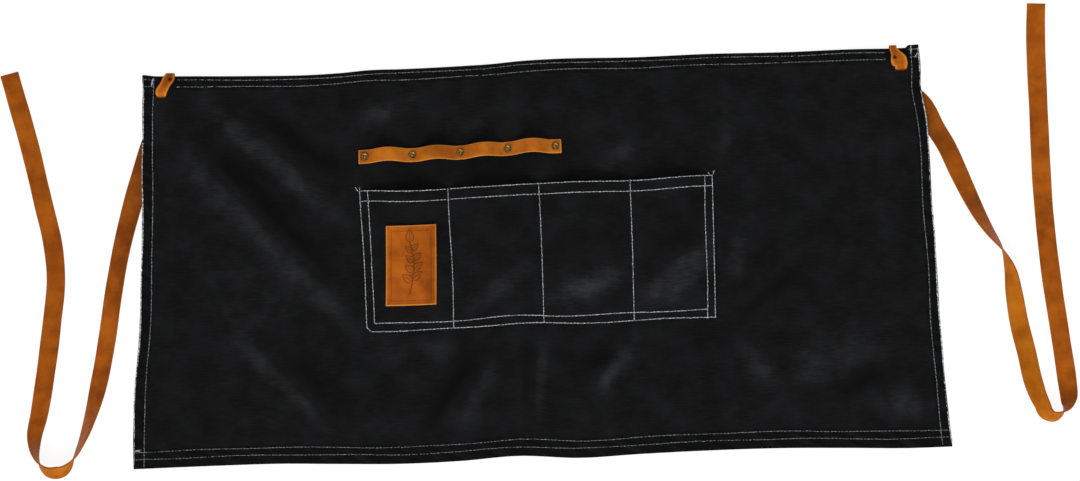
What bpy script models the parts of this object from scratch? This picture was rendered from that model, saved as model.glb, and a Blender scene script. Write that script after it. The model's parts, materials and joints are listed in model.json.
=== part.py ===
"""A canvas garden apron lying flat: panel, pocket, tool loops, rivets, patch and waist ties.

Metres, +Z up. The apron lies front side up on z = 0, its waist edge towards +Y. The origin is
the middle of the bottom of the bounding box. Places on the cloth are given as they were cut:
u runs from the left hem to the right one, v from the bottom hem up to the waist.
"""

from collections import namedtuple
from math import atan2, cos, pi, radians, sin

import bmesh
import bpy
import numpy as np
from mathutils import Vector

# Sizes of the cloth
APRON_WIDTH = 0.800
APRON_DEPTH = 0.400
CLOTH = 0.0010
HEM_THICKNESS = 0.0024
TOP_HEM = 0.014
BOTTOM_HEM = 0.018
SIDE_HEM = 0.011
HEM_STEP = 0.0025
FOLD_RISE = 0.008
FOLD_END_SHARE = 0.25
CELL = 0.0155
CLEARANCE = 0.0003
SHARP_DEGREES = 35.0

# The front pocket, sewn on along three sides and along its dividers
POCKET_LEFT = 0.2195
POCKET_BOTTOM = 0.1335
POCKET_WIDTH = 0.3605
POCKET_HEIGHT = 0.144
POCKET_NARROWING = 0.010
NARROWING_SHARE = 0.7
POCKET_WALL = 0.0012
POCKET_SEAM = 0.009
POCKET_EASE = 0.0098
PUFF_UP = 2.4
PUFF_ACROSS = 2.2
MOUTH_DIP = 0.003
DIVIDER_SHARES = (0.252, 0.508, 0.765)
DIVIDER_FLAT = 0.002
COLUMNS_PER_COMPARTMENT = 6
POCKET_ROWS = 8

# The leather patch, placed from the pocket's lower left corner
PATCH_WIDTH = 0.0505
PATCH_HEIGHT = 0.081
PATCH_THICKNESS = 0.0016
PATCH_FROM_SIDE = 0.0278
PATCH_FROM_BOTTOM = 0.0268
PATCH_LEAN_RATIO = 0.012
PATCH_COLUMN = 0.007
PATCH_ROW = 0.010

# The tool loop strip and its rivets
STRIP_LEFT = 0.2202
STRIP_HEIGHT_UP = 0.3125
STRIP_WIDTH = 0.0142
STRIP_THICKNESS = 0.0022
STRIP_END = 0.0062
LOOP_COUNT = 4
LOOP_PITCH = 0.0485
LOOP_RISE = 0.0088
LOOP_FLAT = 0.0045
LOOP_LEAN = 0.0020
LOOP_ROUND_RATIO = 1.3
STATIONS_PER_LOOP = 10
RIVET_HEAD_RADIUS = 0.0037
RIVET_HEAD_RISE = 0.0016
RIVET_RIM = 0.0004
RIVET_POST_RADIUS = 0.0014
RIVET_BACK = 0.0007
RIVET_SIDES = 12

# The waist ties and their hitches
TIE_LENGTH = 0.850
TIE_WIDTH = 0.0188
TIE_THICKNESS = 0.0018
TONGUE_END = 0.010
TONGUE_TAPER = 0.045
TIE_STEP = 0.009
COVER_MARGIN = 0.016
COVER_FALL = 0.030
SLOT_HEIGHT = 0.0065
SLOT_USED_SHARE = 0.95
CUTTER_DEPTH = 0.04

# Corners of the panel as it lies, as shares of its width and depth from the middle
CORNERS = {
    "top_left": (-0.494, 0.4115),
    "top_right": (0.474, 0.485),
    "bottom_right": (0.517, -0.514),
    "bottom_left": (-0.507, -0.571),
}

# How far each edge bows out of its chord: along as a share of the edge, out of the depth
Bow = namedtuple("Bow", "along out")
TOP_EDGE = (
    Bow(0.0, 0.0),
    Bow(0.06, -0.004),
    Bow(0.137, -0.009),
    Bow(0.215, -0.012),
    Bow(0.254, -0.010),
    Bow(0.292, -0.0055),
    Bow(0.33, -0.006),
    Bow(0.41, -0.004),
    Bow(0.447, -0.002),
    Bow(0.486, 0.003),
    Bow(0.525, 0.005),
    Bow(0.64, 0.0015),
    Bow(0.72, 0.003),
    Bow(0.835, 0.0),
    Bow(0.91, 0.001),
    Bow(0.976, -0.001),
    Bow(1.0, 0.0),
)
BOTTOM_EDGE = (
    Bow(0.0, 0.0),
    Bow(0.105, -0.003),
    Bow(0.18, -0.0035),
    Bow(0.25, 0.001),
    Bow(0.325, 0.005),
    Bow(0.40, 0.002),
    Bow(0.47, -0.0065),
    Bow(0.545, 0.0025),
    Bow(0.62, -0.003),
    Bow(0.69, -0.0065),
    Bow(0.80, -0.0075),
    Bow(0.875, -0.0035),
    Bow(0.95, 0.001),
    Bow(1.0, 0.0),
)
LEFT_EDGE = (
    Bow(0.0, 0.0),
    Bow(0.075, 0.003),
    Bow(0.24, 0.0),
    Bow(0.32, -0.0045),
    Bow(0.47, -0.007),
    Bow(0.68, -0.004),
    Bow(0.835, -0.001),
    Bow(0.935, 0.002),
    Bow(1.0, 0.0),
)
RIGHT_EDGE = (
    Bow(0.0, 0.0),
    Bow(0.14, -0.0035),
    Bow(0.29, -0.0045),
    Bow(0.44, 0.0),
    Bow(0.59, 0.001),
    Bow(0.83, 0.004),
    Bow(0.90, -0.002),
    Bow(0.96, 0.002),
    Bow(1.0, 0.0),
)

# Soft folds: the crest from one end to the other as shares of width and depth, its half
# width as a share of the depth, and its rise as a share of FOLD_RISE
Fold = namedtuple("Fold", "from_u from_v to_u to_v half_width rise")
FOLDS = (
    Fold(0.045, 0.87, 0.275, 0.40, 0.075, 1.0),
    Fold(0.100, 0.92, 0.270, 0.66, 0.065, 0.75),
    Fold(0.150, 0.37, 0.265, 0.08, 0.050, 0.60),
    Fold(0.440, 0.29, 0.370, 0.08, 0.048, 0.70),
    Fold(0.375, 0.30, 0.325, 0.20, 0.040, 0.45),
    Fold(0.495, 0.30, 0.495, 0.04, 0.038, 0.45),
    Fold(0.595, 0.28, 0.560, 0.14, 0.042, 0.55),
    Fold(0.735, 0.94, 0.735, 0.55, 0.040, 0.40),
    Fold(0.830, 0.52, 0.740, 0.29, 0.060, 0.70),
    Fold(0.745, 0.27, 0.815, 0.12, 0.048, 0.50),
    Fold(0.965, 0.19, 0.880, 0.10, 0.048, 0.70),
    Fold(0.400, 0.95, 0.290, 0.86, 0.040, 0.45),
    Fold(0.620, 0.93, 0.560, 0.80, 0.042, 0.35),
)

# The hitches: how far each slot lies from the nearer side and below the waist edge, how far
# along that edge the tongue crosses it, the tongue's width, and where the route is measured
# from, across and up from the slot
Hitch = namedtuple("Hitch", "side from_side below over_across width start_across start_up")
HITCHES = {
    "left": Hitch(-1, 0.0192, 0.0193, 0.0088, 0.0110, 0.0060, 0.0107),
    "right": Hitch(1, 0.0202, 0.0197, -0.0073, 0.0125, -0.0028, -0.0018),
}

# The ties' routes in shares of TIE_LENGTH, and the strap's turn about its own length in
# degrees: 0 lies flat, 90 stands on edge, beyond that the underside shows
Route = namedtuple("Route", "x y turn")
TIE_ROUTES = {
    "left": (
        Route(-0.008, -0.0225, 0.0),
        Route(-0.0145, -0.051, 0.0),
        Route(-0.027, -0.092, 0.0),
        Route(-0.0405, -0.139, 0.0),
        Route(-0.0535, -0.192, 18.0),
        Route(-0.063, -0.245, 22.0),
        Route(-0.0705, -0.298, 18.0),
        Route(-0.080, -0.351, 26.0),
        Route(-0.0885, -0.386, 46.0),
        Route(-0.1005, -0.4215, 69.0),
        Route(-0.109, -0.439, 84.0),
        Route(-0.118, -0.451, 114.0),
        Route(-0.131, -0.457, 131.0),
        Route(-0.1435, -0.453, 114.0),
        Route(-0.152, -0.442, 88.0),
        Route(-0.156, -0.4215, 57.0),
        Route(-0.150, -0.386, 27.0),
        Route(-0.142, -0.333, 18.0),
        Route(-0.1355, -0.280, 18.0),
        Route(-0.131, -0.227, 16.0),
        Route(-0.134, -0.192, 16.0),
        Route(-0.146, -0.139, 16.0),
        Route(-0.163, -0.0685, 16.0),
        Route(-0.178, -0.0155, 14.0),
        Route(-0.186, 0.0125, 14.0),
    ),
    "right": (
        Route(0.005, -0.0085, 0.0),
        Route(0.0125, -0.0225, 0.0),
        Route(0.026, -0.0355, 0.0),
        Route(0.0455, -0.071, 0.0),
        Route(0.055, -0.0865, 10.0),
        Route(0.0715, -0.1215, 14.0),
        Route(0.088, -0.1565, 34.0),
        Route(0.0975, -0.1745, 46.0),
        Route(0.1085, -0.192, 62.0),
        Route(0.121, -0.2095, 82.0),
        Route(0.1305, -0.232, 116.0),
        Route(0.136, -0.2625, 146.0),
        Route(0.1425, -0.298, 172.0),
        Route(0.1515, -0.333, 180.0),
        Route(0.1595, -0.3685, 164.0),
        Route(0.168, -0.391, 144.0),
        Route(0.1795, -0.4075, 130.0),
        Route(0.1885, -0.4055, 112.0),
        Route(0.1955, -0.4015, 92.0),
        Route(0.2005, -0.386, 38.0),
        Route(0.199, -0.3685, 18.0),
        Route(0.1915, -0.3155, 0.0),
        Route(0.181, -0.2475, 0.0),
        Route(0.172, -0.1685, 0.0),
        Route(0.1655, -0.051, 0.0),
        Route(0.162, 0.055, 0.0),
        Route(0.1625, 0.078, 0.0),
    ),
}

# Finishes: base colour, roughness and metallic
Finish = namedtuple("Finish", "colour roughness metallic")
CANVAS = Finish((0.012, 0.012, 0.014), 0.92, 0.0)
TIE_LEATHER = Finish((0.40, 0.12, 0.012), 0.55, 0.0)
STRIP_LEATHER = Finish((0.52, 0.17, 0.025), 0.50, 0.0)
PATCH_LEATHER = Finish((0.50, 0.15, 0.015), 0.50, 0.0)
BRASS = Finish((0.42, 0.28, 0.12), 0.38, 1.0)


def eased(x):
    """A smooth step from 0 to 1 as x goes from 0 to 1."""
    x = min(max(x, 0.0), 1.0)
    return x * x * (3.0 - 2.0 * x)


def smooth_curve(knots, values):
    """A smooth curve through values at knots, whose slopes follow from the neighbours."""
    knots = np.asarray(knots, dtype=float)
    values = np.asarray(values, dtype=float)
    slopes = np.gradient(values, knots, axis=0)

    def curve(x):
        x = min(max(x, knots[0]), knots[-1])
        index = min(int(np.searchsorted(knots, x, side="right")) - 1, len(knots) - 2)
        span = knots[index + 1] - knots[index]
        f = (x - knots[index]) / span
        start = (2.0 * f**3 - 3.0 * f**2 + 1.0) * values[index]
        end = (3.0 * f**2 - 2.0 * f**3) * values[index + 1]
        leaving = (f**3 - 2.0 * f**2 + f) * span * slopes[index]
        arriving = (f**3 - f**2) * span * slopes[index + 1]
        return start + end + leaving + arriving

    return curve


def spaced(low, high, step):
    """Evenly spaced values from low to high, about a step apart."""
    return list(np.linspace(low, high, max(2, round((high - low) / step) + 1)))


def edge_curve(first, last, bows, outward):
    """One edge of the lying panel, as a function of the share of its length."""
    size = np.array((APRON_WIDTH, APRON_DEPTH))
    start = np.array(CORNERS[first]) * size
    end = np.array(CORNERS[last]) * size
    bow = smooth_curve([row.along for row in bows], [row.out for row in bows])

    def point(share):
        chord = start + (end - start) * share
        return chord + np.array(outward) * bow(share) * APRON_DEPTH

    return point


EDGE_TOP = edge_curve("top_left", "top_right", TOP_EDGE, (0.0, 1.0))
EDGE_BOTTOM = edge_curve("bottom_left", "bottom_right", BOTTOM_EDGE, (0.0, -1.0))
EDGE_LEFT = edge_curve("bottom_left", "top_left", LEFT_EDGE, (-1.0, 0.0))
EDGE_RIGHT = edge_curve("bottom_right", "top_right", RIGHT_EDGE, (1.0, 0.0))


def on_panel(u, v):
    """Where a place on the flat cloth lies, seen from above, between the four edges."""
    s = u / APRON_WIDTH
    t = v / APRON_DEPTH
    across = EDGE_LEFT(t) * (1.0 - s) + EDGE_RIGHT(t) * s
    along = EDGE_BOTTOM(s) * (1.0 - t) + EDGE_TOP(s) * t
    lower = EDGE_BOTTOM(0.0) * (1.0 - s) + EDGE_BOTTOM(1.0) * s
    upper = EDGE_TOP(0.0) * (1.0 - s) + EDGE_TOP(1.0) * s
    return across + along - lower * (1.0 - t) - upper * t


def slot_place(hitch):
    """The middle of a hitch's slot on the flat cloth."""
    from_left = hitch.from_side if hitch.side < 0 else APRON_WIDTH - hitch.from_side
    return from_left, APRON_DEPTH - hitch.below


def tie_stations(name):
    """The tie's middle line from its slot to its free end, as rows of x, y and turn."""
    hitch = HITCHES[name]
    start = on_panel(*slot_place(hitch)) + np.array((hitch.start_across, hitch.start_up))
    rows = TIE_ROUTES[name]
    points = np.array([(*(start + np.array((r.x, r.y)) * TIE_LENGTH), r.turn) for r in rows])
    runs = np.linalg.norm(np.diff(points[:, :2], axis=0), axis=1)
    distance = np.concatenate(((0.0,), np.cumsum(runs)))
    curve = smooth_curve(distance, points)
    return [curve(d) for d in spaced(0.0, distance[-1], TIE_STEP)], distance[-1]


TIE_LINES = {name: tie_stations(name)[0] for name in TIE_ROUTES}


def cover(x, y):
    """How far the panel is lifted here by a tie or a hitch that passes under it."""
    lift = TIE_THICKNESS + CLEARANCE
    nearest = min(
        (row[0] - x) ** 2 + (row[1] - y) ** 2 for line in TIE_LINES.values() for row in line
    ) ** 0.5
    for hitch in HITCHES.values():
        slot = on_panel(*slot_place(hitch))
        nearest = min(nearest, ((slot[0] - x) ** 2 + (slot[1] - y) ** 2) ** 0.5 - hitch.below)
    beyond = nearest - TIE_WIDTH / 2.0 - COVER_MARGIN
    return lift * (1.0 - eased(beyond / COVER_FALL))


def fold_rise(u, v):
    """How far the soft folds lift the cloth, calm at the hems, the pocket and the strip."""
    s = u / APRON_WIDTH
    t = v / APRON_DEPTH
    ratio = APRON_WIDTH / APRON_DEPTH
    rise = 0.0
    for fold in FOLDS:
        along = np.array(((fold.to_u - fold.from_u) * ratio, fold.to_v - fold.from_v))
        length = np.linalg.norm(along)
        along = along / length
        offset = np.array(((s - fold.from_u) * ratio, t - fold.from_v))
        run = float(offset @ along)
        beyond = max(-run, run - length, 0.0)
        aside = float((offset @ offset - run * run + beyond**2) ** 0.5)
        shape = 1.0 - eased(aside / (2.0 * fold.half_width))
        taper = eased(2.0 * min(run, length - run) / length)
        rise = max(rise, fold.rise * shape * (FOLD_END_SHARE + (1.0 - FOLD_END_SHARE) * taper))
    return rise * FOLD_RISE * calm(u, v)


def calm(u, v):
    """0 where the cloth is held flat by what is sewn or riveted on it, 1 in the open."""
    pocket = (POCKET_LEFT, POCKET_LEFT + POCKET_WIDTH, POCKET_BOTTOM, POCKET_BOTTOM + POCKET_HEIGHT)
    strip_end = STRIP_LEFT + 2.0 * STRIP_END + LOOP_COUNT * LOOP_PITCH
    strip = (STRIP_LEFT, strip_end, STRIP_HEIGHT_UP - STRIP_WIDTH / 2, STRIP_HEIGHT_UP + STRIP_WIDTH / 2)
    share = 1.0
    for left, right, low, high in (pocket, strip):
        outside = (max(left - u, u - right, 0.0) ** 2 + max(low - v, v - high, 0.0) ** 2) ** 0.5
        share = min(share, eased((outside - CELL) / COVER_FALL))
    for hitch in HITCHES.values():
        slot_u, slot_v = slot_place(hitch)
        outside = ((u - slot_u) ** 2 + (v - slot_v) ** 2) ** 0.5 - hitch.below - hitch.width
        share = min(share, eased(outside / COVER_FALL))
    sides = min(u, APRON_WIDTH - u) - SIDE_HEM
    ends = min(v - BOTTOM_HEM, APRON_DEPTH - TOP_HEM - v)
    return min(share, eased((min(sides, ends) - HEM_STEP) / COVER_FALL))


def in_field(u, v):
    """0 on the hems, 1 on the single cloth between them."""
    sides = min(u - SIDE_HEM, APRON_WIDTH - SIDE_HEM - u)
    ends = min(v - BOTTOM_HEM, APRON_DEPTH - TOP_HEM - v)
    return min(max(min(sides, ends) / HEM_STEP, 0.0), 1.0)


def panel_underside(u, v):
    """Height of the panel's underside above the surface that the apron lies on."""
    single = in_field(u, v) * (RIVET_BACK + CLEARANCE)
    return single + cover(*on_panel(u, v)) + fold_rise(u, v)


def panel_top(u, v):
    """Height of the panel's front."""
    thickness = HEM_THICKNESS + (CLOTH - HEM_THICKNESS) * in_field(u, v)
    return panel_underside(u, v) + thickness


def surface(name, finish, mesh):
    """A named object in the apron's collection with its own material, shaded smooth."""
    mesh.shade_smooth()
    mesh.set_sharp_from_angle(angle=radians(SHARP_DEGREES))
    piece = bpy.data.objects.new(name, mesh)
    bpy.data.collections["garden_apron"].objects.link(piece)
    material = bpy.data.materials.new(name)
    material.use_nodes = True
    shader = material.node_tree.nodes["Principled BSDF"]
    shader.inputs["Base Color"].default_value = (*finish.colour, 1.0)
    shader.inputs["Roughness"].default_value = finish.roughness
    shader.inputs["Metallic"].default_value = finish.metallic
    material.diffuse_color = (*finish.colour, 1.0)
    mesh.materials.append(material)
    return piece


def slab(name, finish, columns, rows, lower, upper):
    """A closed sheet over a grid of columns and rows, between its two placed faces."""
    bm = bmesh.new()
    bmesh.ops.create_grid(bm, x_segments=len(columns) - 1, y_segments=len(rows) - 1, size=0.5)
    cells = {}
    for vert in bm.verts:
        column = round((vert.co.x + 0.5) * (len(columns) - 1))
        row = round((vert.co.y + 0.5) * (len(rows) - 1))
        cells[vert] = (columns[column], rows[row])
    grown = bmesh.ops.extrude_face_region(bm, geom=bm.faces[:], use_keep_orig=True)
    raised = [item for item in grown["geom"] if isinstance(item, bmesh.types.BMVert)]
    for vert in raised:
        column = round((vert.co.x + 0.5) * (len(columns) - 1))
        row = round((vert.co.y + 0.5) * (len(rows) - 1))
        vert.co = upper(columns[column], rows[row])
    for vert, (column, row) in cells.items():
        vert.co = lower(column, row)
    bmesh.ops.recalc_face_normals(bm, faces=bm.faces[:])
    mesh = bpy.data.meshes.new(name)
    bm.to_mesh(mesh)
    bm.free()
    return surface(name, finish, mesh)


def ribbon(name, finish, stations, thickness):
    """A strap swept along stations, each a middle point, a half width and a face normal."""
    def place(side):
        def at(index, across):
            middle, half, normal = stations[index]
            return middle + half * across + normal * (side * thickness / 2.0)

        return at

    return slab(name, finish, list(range(len(stations))), [-1.0, 1.0], place(-1.0), place(1.0))


def cut(piece, cutter):
    """Cut one piece by another object, which stays as a guide only."""
    modifier = piece.modifiers.new(cutter.name, "BOOLEAN")
    modifier.operation = "DIFFERENCE"
    modifier.object = cutter


def guide(cutter):
    """Put a cutter away from the pieces, drawn as wire."""
    for collection in cutter.users_collection:
        collection.objects.unlink(cutter)
    bpy.data.collections["cutters"].objects.link(cutter)
    cutter.hide_render = True
    cutter.display_type = "WIRE"
    return cutter


def make_panel():
    """The apron's panel: thicker hems round a single cloth with its soft folds."""
    inner_u = spaced(SIDE_HEM + HEM_STEP, APRON_WIDTH - SIDE_HEM - HEM_STEP, CELL)
    inner_v = spaced(BOTTOM_HEM + HEM_STEP, APRON_DEPTH - TOP_HEM - HEM_STEP, CELL)
    columns = [0.0, SIDE_HEM, *inner_u, APRON_WIDTH - SIDE_HEM, APRON_WIDTH]
    rows = [0.0, BOTTOM_HEM, *inner_v, APRON_DEPTH - TOP_HEM, APRON_DEPTH]

    def lower(u, v):
        return Vector((*on_panel(u, v), panel_underside(u, v)))

    def upper(u, v):
        return Vector((*on_panel(u, v), panel_top(u, v)))

    return slab("apron_panel", CANVAS, columns, rows, lower, upper)


def on_pocket(p, q):
    """Where a share of the pocket's width and height lies on the flat cloth."""
    narrowing = POCKET_NARROWING * (1.0 - q)
    u = POCKET_LEFT + NARROWING_SHARE * narrowing + p * (POCKET_WIDTH - narrowing)
    v = POCKET_BOTTOM + q * POCKET_HEIGHT - MOUTH_DIP * q * 4.0 * p * (1.0 - p)
    return u, v


def pocket_puff(p, q):
    """How far the pocket stands off the panel between its seams and dividers."""
    seam = POCKET_SEAM / POCKET_WIDTH
    stops = (seam, *DIVIDER_SHARES, 1.0 - seam)
    floor = POCKET_SEAM / POCKET_HEIGHT
    up = min(max((q - floor) / (1.0 - floor), 0.0), 1.0)
    rise = 1.0 - (1.0 - up) ** PUFF_UP
    for left, right in zip(stops[:-1], stops[1:]):
        share = (p - left) / (right - left)
        if 0.0 < share < 1.0:
            return POCKET_EASE * rise * (1.0 - abs(2.0 * share - 1.0) ** PUFF_ACROSS)
    return 0.0


def pocket_underside(p, q):
    """Height of the pocket's inner face."""
    return panel_top(*on_pocket(p, q)) + CLEARANCE + pocket_puff(p, q)


def make_pocket():
    """The pocket's cloth, open at the top, sewn down at its seams and dividers."""
    seam = POCKET_SEAM / POCKET_WIDTH
    flat = DIVIDER_FLAT / POCKET_WIDTH
    stops = (seam, *DIVIDER_SHARES, 1.0 - seam)
    columns = [0.0]
    for left, right in zip(stops[:-1], stops[1:]):
        low = left if left == seam else left + flat / 2.0
        high = right if right == 1.0 - seam else right - flat / 2.0
        columns.extend(np.linspace(low, high, COLUMNS_PER_COMPARTMENT + 1))
    columns.append(1.0)
    rows = [0.0, *np.linspace(POCKET_SEAM / POCKET_HEIGHT, 1.0, POCKET_ROWS)]

    def lower(p, q):
        return Vector((*on_panel(*on_pocket(p, q)), pocket_underside(p, q)))

    def upper(p, q):
        return lower(p, q) + Vector((0.0, 0.0, POCKET_WALL))

    return slab("pocket_panel", CANVAS, columns, rows, lower, upper)


def make_patch():
    """The leather patch, bent over the first compartment of the pocket."""
    low_u = POCKET_LEFT + PATCH_FROM_SIDE
    low_v = POCKET_BOTTOM + PATCH_FROM_BOTTOM
    columns = spaced(low_u, low_u + PATCH_WIDTH, PATCH_COLUMN)
    rows = spaced(low_v, low_v + PATCH_HEIGHT, PATCH_ROW)

    def lower(u, v):
        q = (v - POCKET_BOTTOM) / POCKET_HEIGHT
        narrowing = POCKET_NARROWING * (1.0 - q)
        p = (u - POCKET_LEFT - NARROWING_SHARE * narrowing) / (POCKET_WIDTH - narrowing)
        height = pocket_underside(p, q) + POCKET_WALL + CLEARANCE
        return Vector((*on_panel(u - PATCH_LEAN_RATIO * (low_v + PATCH_HEIGHT - v), v), height))

    def upper(u, v):
        return lower(u, v) + Vector((0.0, 0.0, PATCH_THICKNESS))

    return slab("leather_patch", PATCH_LEATHER, columns, rows, lower, upper)


def rivet_places():
    """The rivets' places on the flat cloth, one pitch apart."""
    first = STRIP_LEFT + STRIP_END
    return [(first + index * LOOP_PITCH, STRIP_HEIGHT_UP) for index in range(LOOP_COUNT + 1)]


def loop_height(distance):
    """Rise of the strip at a distance from the first rivet, flat at each rivet."""
    share = (distance / LOOP_PITCH) % 1.0
    held = LOOP_FLAT / LOOP_PITCH
    inside = min(max((share - held) / (1.0 - 2.0 * held), 0.0), 1.0)
    if distance <= 0.0 or distance >= LOOP_COUNT * LOOP_PITCH:
        return 0.0
    return LOOP_RISE * sin(pi * inside) ** LOOP_ROUND_RATIO


def make_strip():
    """The leather strip, flat under each rivet and bulging into a loop between them."""
    length = LOOP_COUNT * LOOP_PITCH
    inner = []
    for index in range(LOOP_COUNT):
        start = index * LOOP_PITCH + LOOP_FLAT
        end = (index + 1) * LOOP_PITCH - LOOP_FLAT
        inner.extend(spaced(start, end, LOOP_PITCH / STATIONS_PER_LOOP))
    distances = [-STRIP_END, *inner, length + STRIP_END]

    def middle(distance):
        u = STRIP_LEFT + STRIP_END + distance
        height = panel_top(u, STRIP_HEIGHT_UP) + CLEARANCE + STRIP_THICKNESS / 2.0
        rise = loop_height(distance)
        v = STRIP_HEIGHT_UP + LOOP_LEAN * rise / LOOP_RISE
        return Vector((*on_panel(u, v), height + rise))

    return follow("tool_loop_strip", STRIP_LEATHER, [middle(d) for d in distances])


def follow(name, finish, middles):
    """A strap of even width along points that bend up and down but keep their line."""
    stations = []
    for index, point in enumerate(middles):
        before = middles[max(index - 1, 0)]
        after = middles[min(index + 1, len(middles) - 1)]
        along = (after - before).normalized()
        half = Vector((0.0, 0.0, 1.0)).cross(along).normalized()
        stations.append((point, half * (STRIP_WIDTH / 2.0), along.cross(half)))
    return ribbon(name, finish, stations, STRIP_THICKNESS)


def make_rivet(number, u, v):
    """One rivet: domed cap, post and flat back cap, turned about its own axis."""
    foot = panel_underside(u, v) - CLEARANCE - RIVET_BACK
    under_cap = panel_top(u, v) + 2.0 * CLEARANCE + STRIP_THICKNESS - foot
    profile = [(0.0, under_cap + RIVET_HEAD_RISE)]
    for step in range(1, 4):
        angle = step * pi / 8.0
        height = under_cap + RIVET_RIM + (RIVET_HEAD_RISE - RIVET_RIM) * cos(angle)
        profile.append((RIVET_HEAD_RADIUS * sin(angle), height))
    profile += [
        (RIVET_HEAD_RADIUS, under_cap + RIVET_RIM),
        (RIVET_HEAD_RADIUS, under_cap),
        (RIVET_POST_RADIUS, under_cap),
        (RIVET_POST_RADIUS, RIVET_BACK),
        (RIVET_HEAD_RADIUS, RIVET_BACK),
        (RIVET_HEAD_RADIUS, 0.0),
        (0.0, 0.0),
    ]
    bm = bmesh.new()
    verts = [bm.verts.new((radius, 0.0, height)) for radius, height in profile]
    for first, second in zip(verts[:-1], verts[1:]):
        bm.edges.new((first, second))
    mesh = bpy.data.meshes.new(f"rivet_{number}")
    bm.to_mesh(mesh)
    bm.free()
    piece = surface(f"rivet_{number}", BRASS, mesh)
    piece.location = (*on_panel(u, v), foot)
    turn = piece.modifiers.new("turned", "SCREW")
    turn.steps = RIVET_SIDES
    turn.render_steps = RIVET_SIDES
    turn.use_merge_vertices = True
    turn.merge_threshold = 0.00001
    turn.use_smooth_shade = True
    return piece


def make_rivets(panel, strip):
    """The rivets through the strip and the panel, in holes a little wider than their posts."""
    rivets = []
    for number, (u, v) in enumerate(rivet_places(), start=1):
        rivets.append(make_rivet(number, u, v))
        bpy.ops.mesh.primitive_cylinder_add(
            vertices=RIVET_SIDES,
            radius=RIVET_POST_RADIUS + CLEARANCE,
            depth=CUTTER_DEPTH,
            location=(*on_panel(u, v), panel_top(u, v)),
        )
        cutter = guide(bpy.context.object)
        cutter.name = f"rivet_hole_{number}"
        cut(panel, cutter)
        cut(strip, cutter)
    return rivets


def hitch_frame(name):
    """The slot's middle, the directions along and up to the waist edge, and its distance."""
    u, v = slot_place(HITCHES[name])
    middle = on_panel(u, v)
    edge = on_panel(u + SLOT_HEIGHT, APRON_DEPTH) - on_panel(u - SLOT_HEIGHT, APRON_DEPTH)
    along = Vector((*edge, 0.0)).normalized()
    up = Vector((-along.y, along.x, 0.0))
    reach = Vector((*(on_panel(u, APRON_DEPTH) - middle), 0.0)).dot(up)
    return Vector((*middle, 0.0)), along, up, reach


def tongue_levels():
    """Heights of the tongue's middle behind the hem and on its front."""
    back = TIE_THICKNESS / 2.0
    front = TIE_THICKNESS + CLEARANCE + HEM_THICKNESS + CLEARANCE + TIE_THICKNESS / 2.0
    return back, front


def round_edge(aside, edge, start, end):
    """Points of the tongue round an edge of the hem, between two angles in degrees."""
    back, front = tongue_levels()
    angles = [radians(angle) for angle in np.linspace(start, end, 5)]
    radius = (front - back) / 2.0
    return [(aside, edge + radius * cos(a), back + radius + radius * sin(a)) for a in angles]


def through_slot(aside, way):
    """Points of the tongue from the front to the back through the slot, heading one way."""
    back, front = tongue_levels()
    low = SLOT_USED_SHARE * SLOT_HEIGHT / 2.0
    shares = [step / 5.0 for step in range(6)]
    return [(aside, way * low * (2.0 * f - 1.0), front + (back - front) * eased(f)) for f in shares]


def hitch_path(name):
    """The tongue's middle line, from its end behind the hem to where it leaves the slot.

    It goes up behind the hem, over the waist edge, down the front to the slot and through it
    to the back. Each row is across and up from the slot, and a height.
    """
    hitch = HITCHES[name]
    reach = hitch_frame(name)[3]
    back, front = tongue_levels()
    over = hitch.over_across
    low = SLOT_HEIGHT / 2.0
    path = [(over, reach - TONGUE_END * share, back) for share in (1.0, 0.5)]
    path += round_edge(over, reach, -90.0, 90.0)
    for share in (0.25, 0.5, 0.75):
        path.append((over * (1.0 - share), reach + (low - reach) * share, front))
    path += through_slot(0.0, -1.0)
    return path


def make_tie(name):
    """One waist tie: a tongue hitched round the hem, widening into the strap that lies free."""
    middle, along, up, _ = hitch_frame(name)
    path = hitch_path(name)
    points = [middle + along * a + up * e + Vector((0.0, 0.0, z)) for a, e, z in path]
    line = TIE_LINES[name]
    turns = [radians(row[2]) for row in line]
    tongue = HITCHES[name].width
    widths = [strap_width(index * TIE_STEP, tongue) for index in range(len(line))]
    for row, turn, width in zip(line, turns, widths):
        height = abs(sin(turn)) * width / 2.0 + abs(cos(turn)) * TIE_THICKNESS / 2.0
        points.append(Vector((row[0], row[1], height)))
    stations = []
    for index, point in enumerate(points):
        before = points[max(index - 1, 0)]
        after = points[min(index + 1, len(points) - 1)]
        heading = (after - before).normalized()
        route = index - len(path)
        if route < 0:
            across = along
            width = tongue
        else:
            level = Vector((0.0, 0.0, 1.0)).cross(heading).normalized()
            standing = Vector((0.0, 0.0, -HITCHES[name].side * sin(turns[route])))
            across = (level * cos(turns[route]) + standing).normalized()
            width = widths[route]
        stations.append((point, across * (width / 2.0), heading.cross(across).normalized()))
    return ribbon(f"waist_tie_{name}", TIE_LEATHER, stations, TIE_THICKNESS)


def strap_width(distance, tongue):
    """Width of the strap at a distance from the slot, where it is as narrow as its tongue."""
    return tongue + (TIE_WIDTH - tongue) * eased(distance / TONGUE_TAPER)


def cut_slots(panel):
    """The two slots below the waist edge that the tongues pass through."""
    for name, hitch in HITCHES.items():
        middle, along, _, _ = hitch_frame(name)
        heading = atan2(along.y, along.x)
        bpy.ops.mesh.primitive_cube_add(size=1.0, location=middle, rotation=(0.0, 0.0, heading))
        cutter = guide(bpy.context.object)
        cutter.name = f"slot_{name}"
        cutter.scale = (hitch.width + 4.0 * CLEARANCE, SLOT_HEIGHT, CUTTER_DEPTH)
        cut(panel, cutter)


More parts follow.
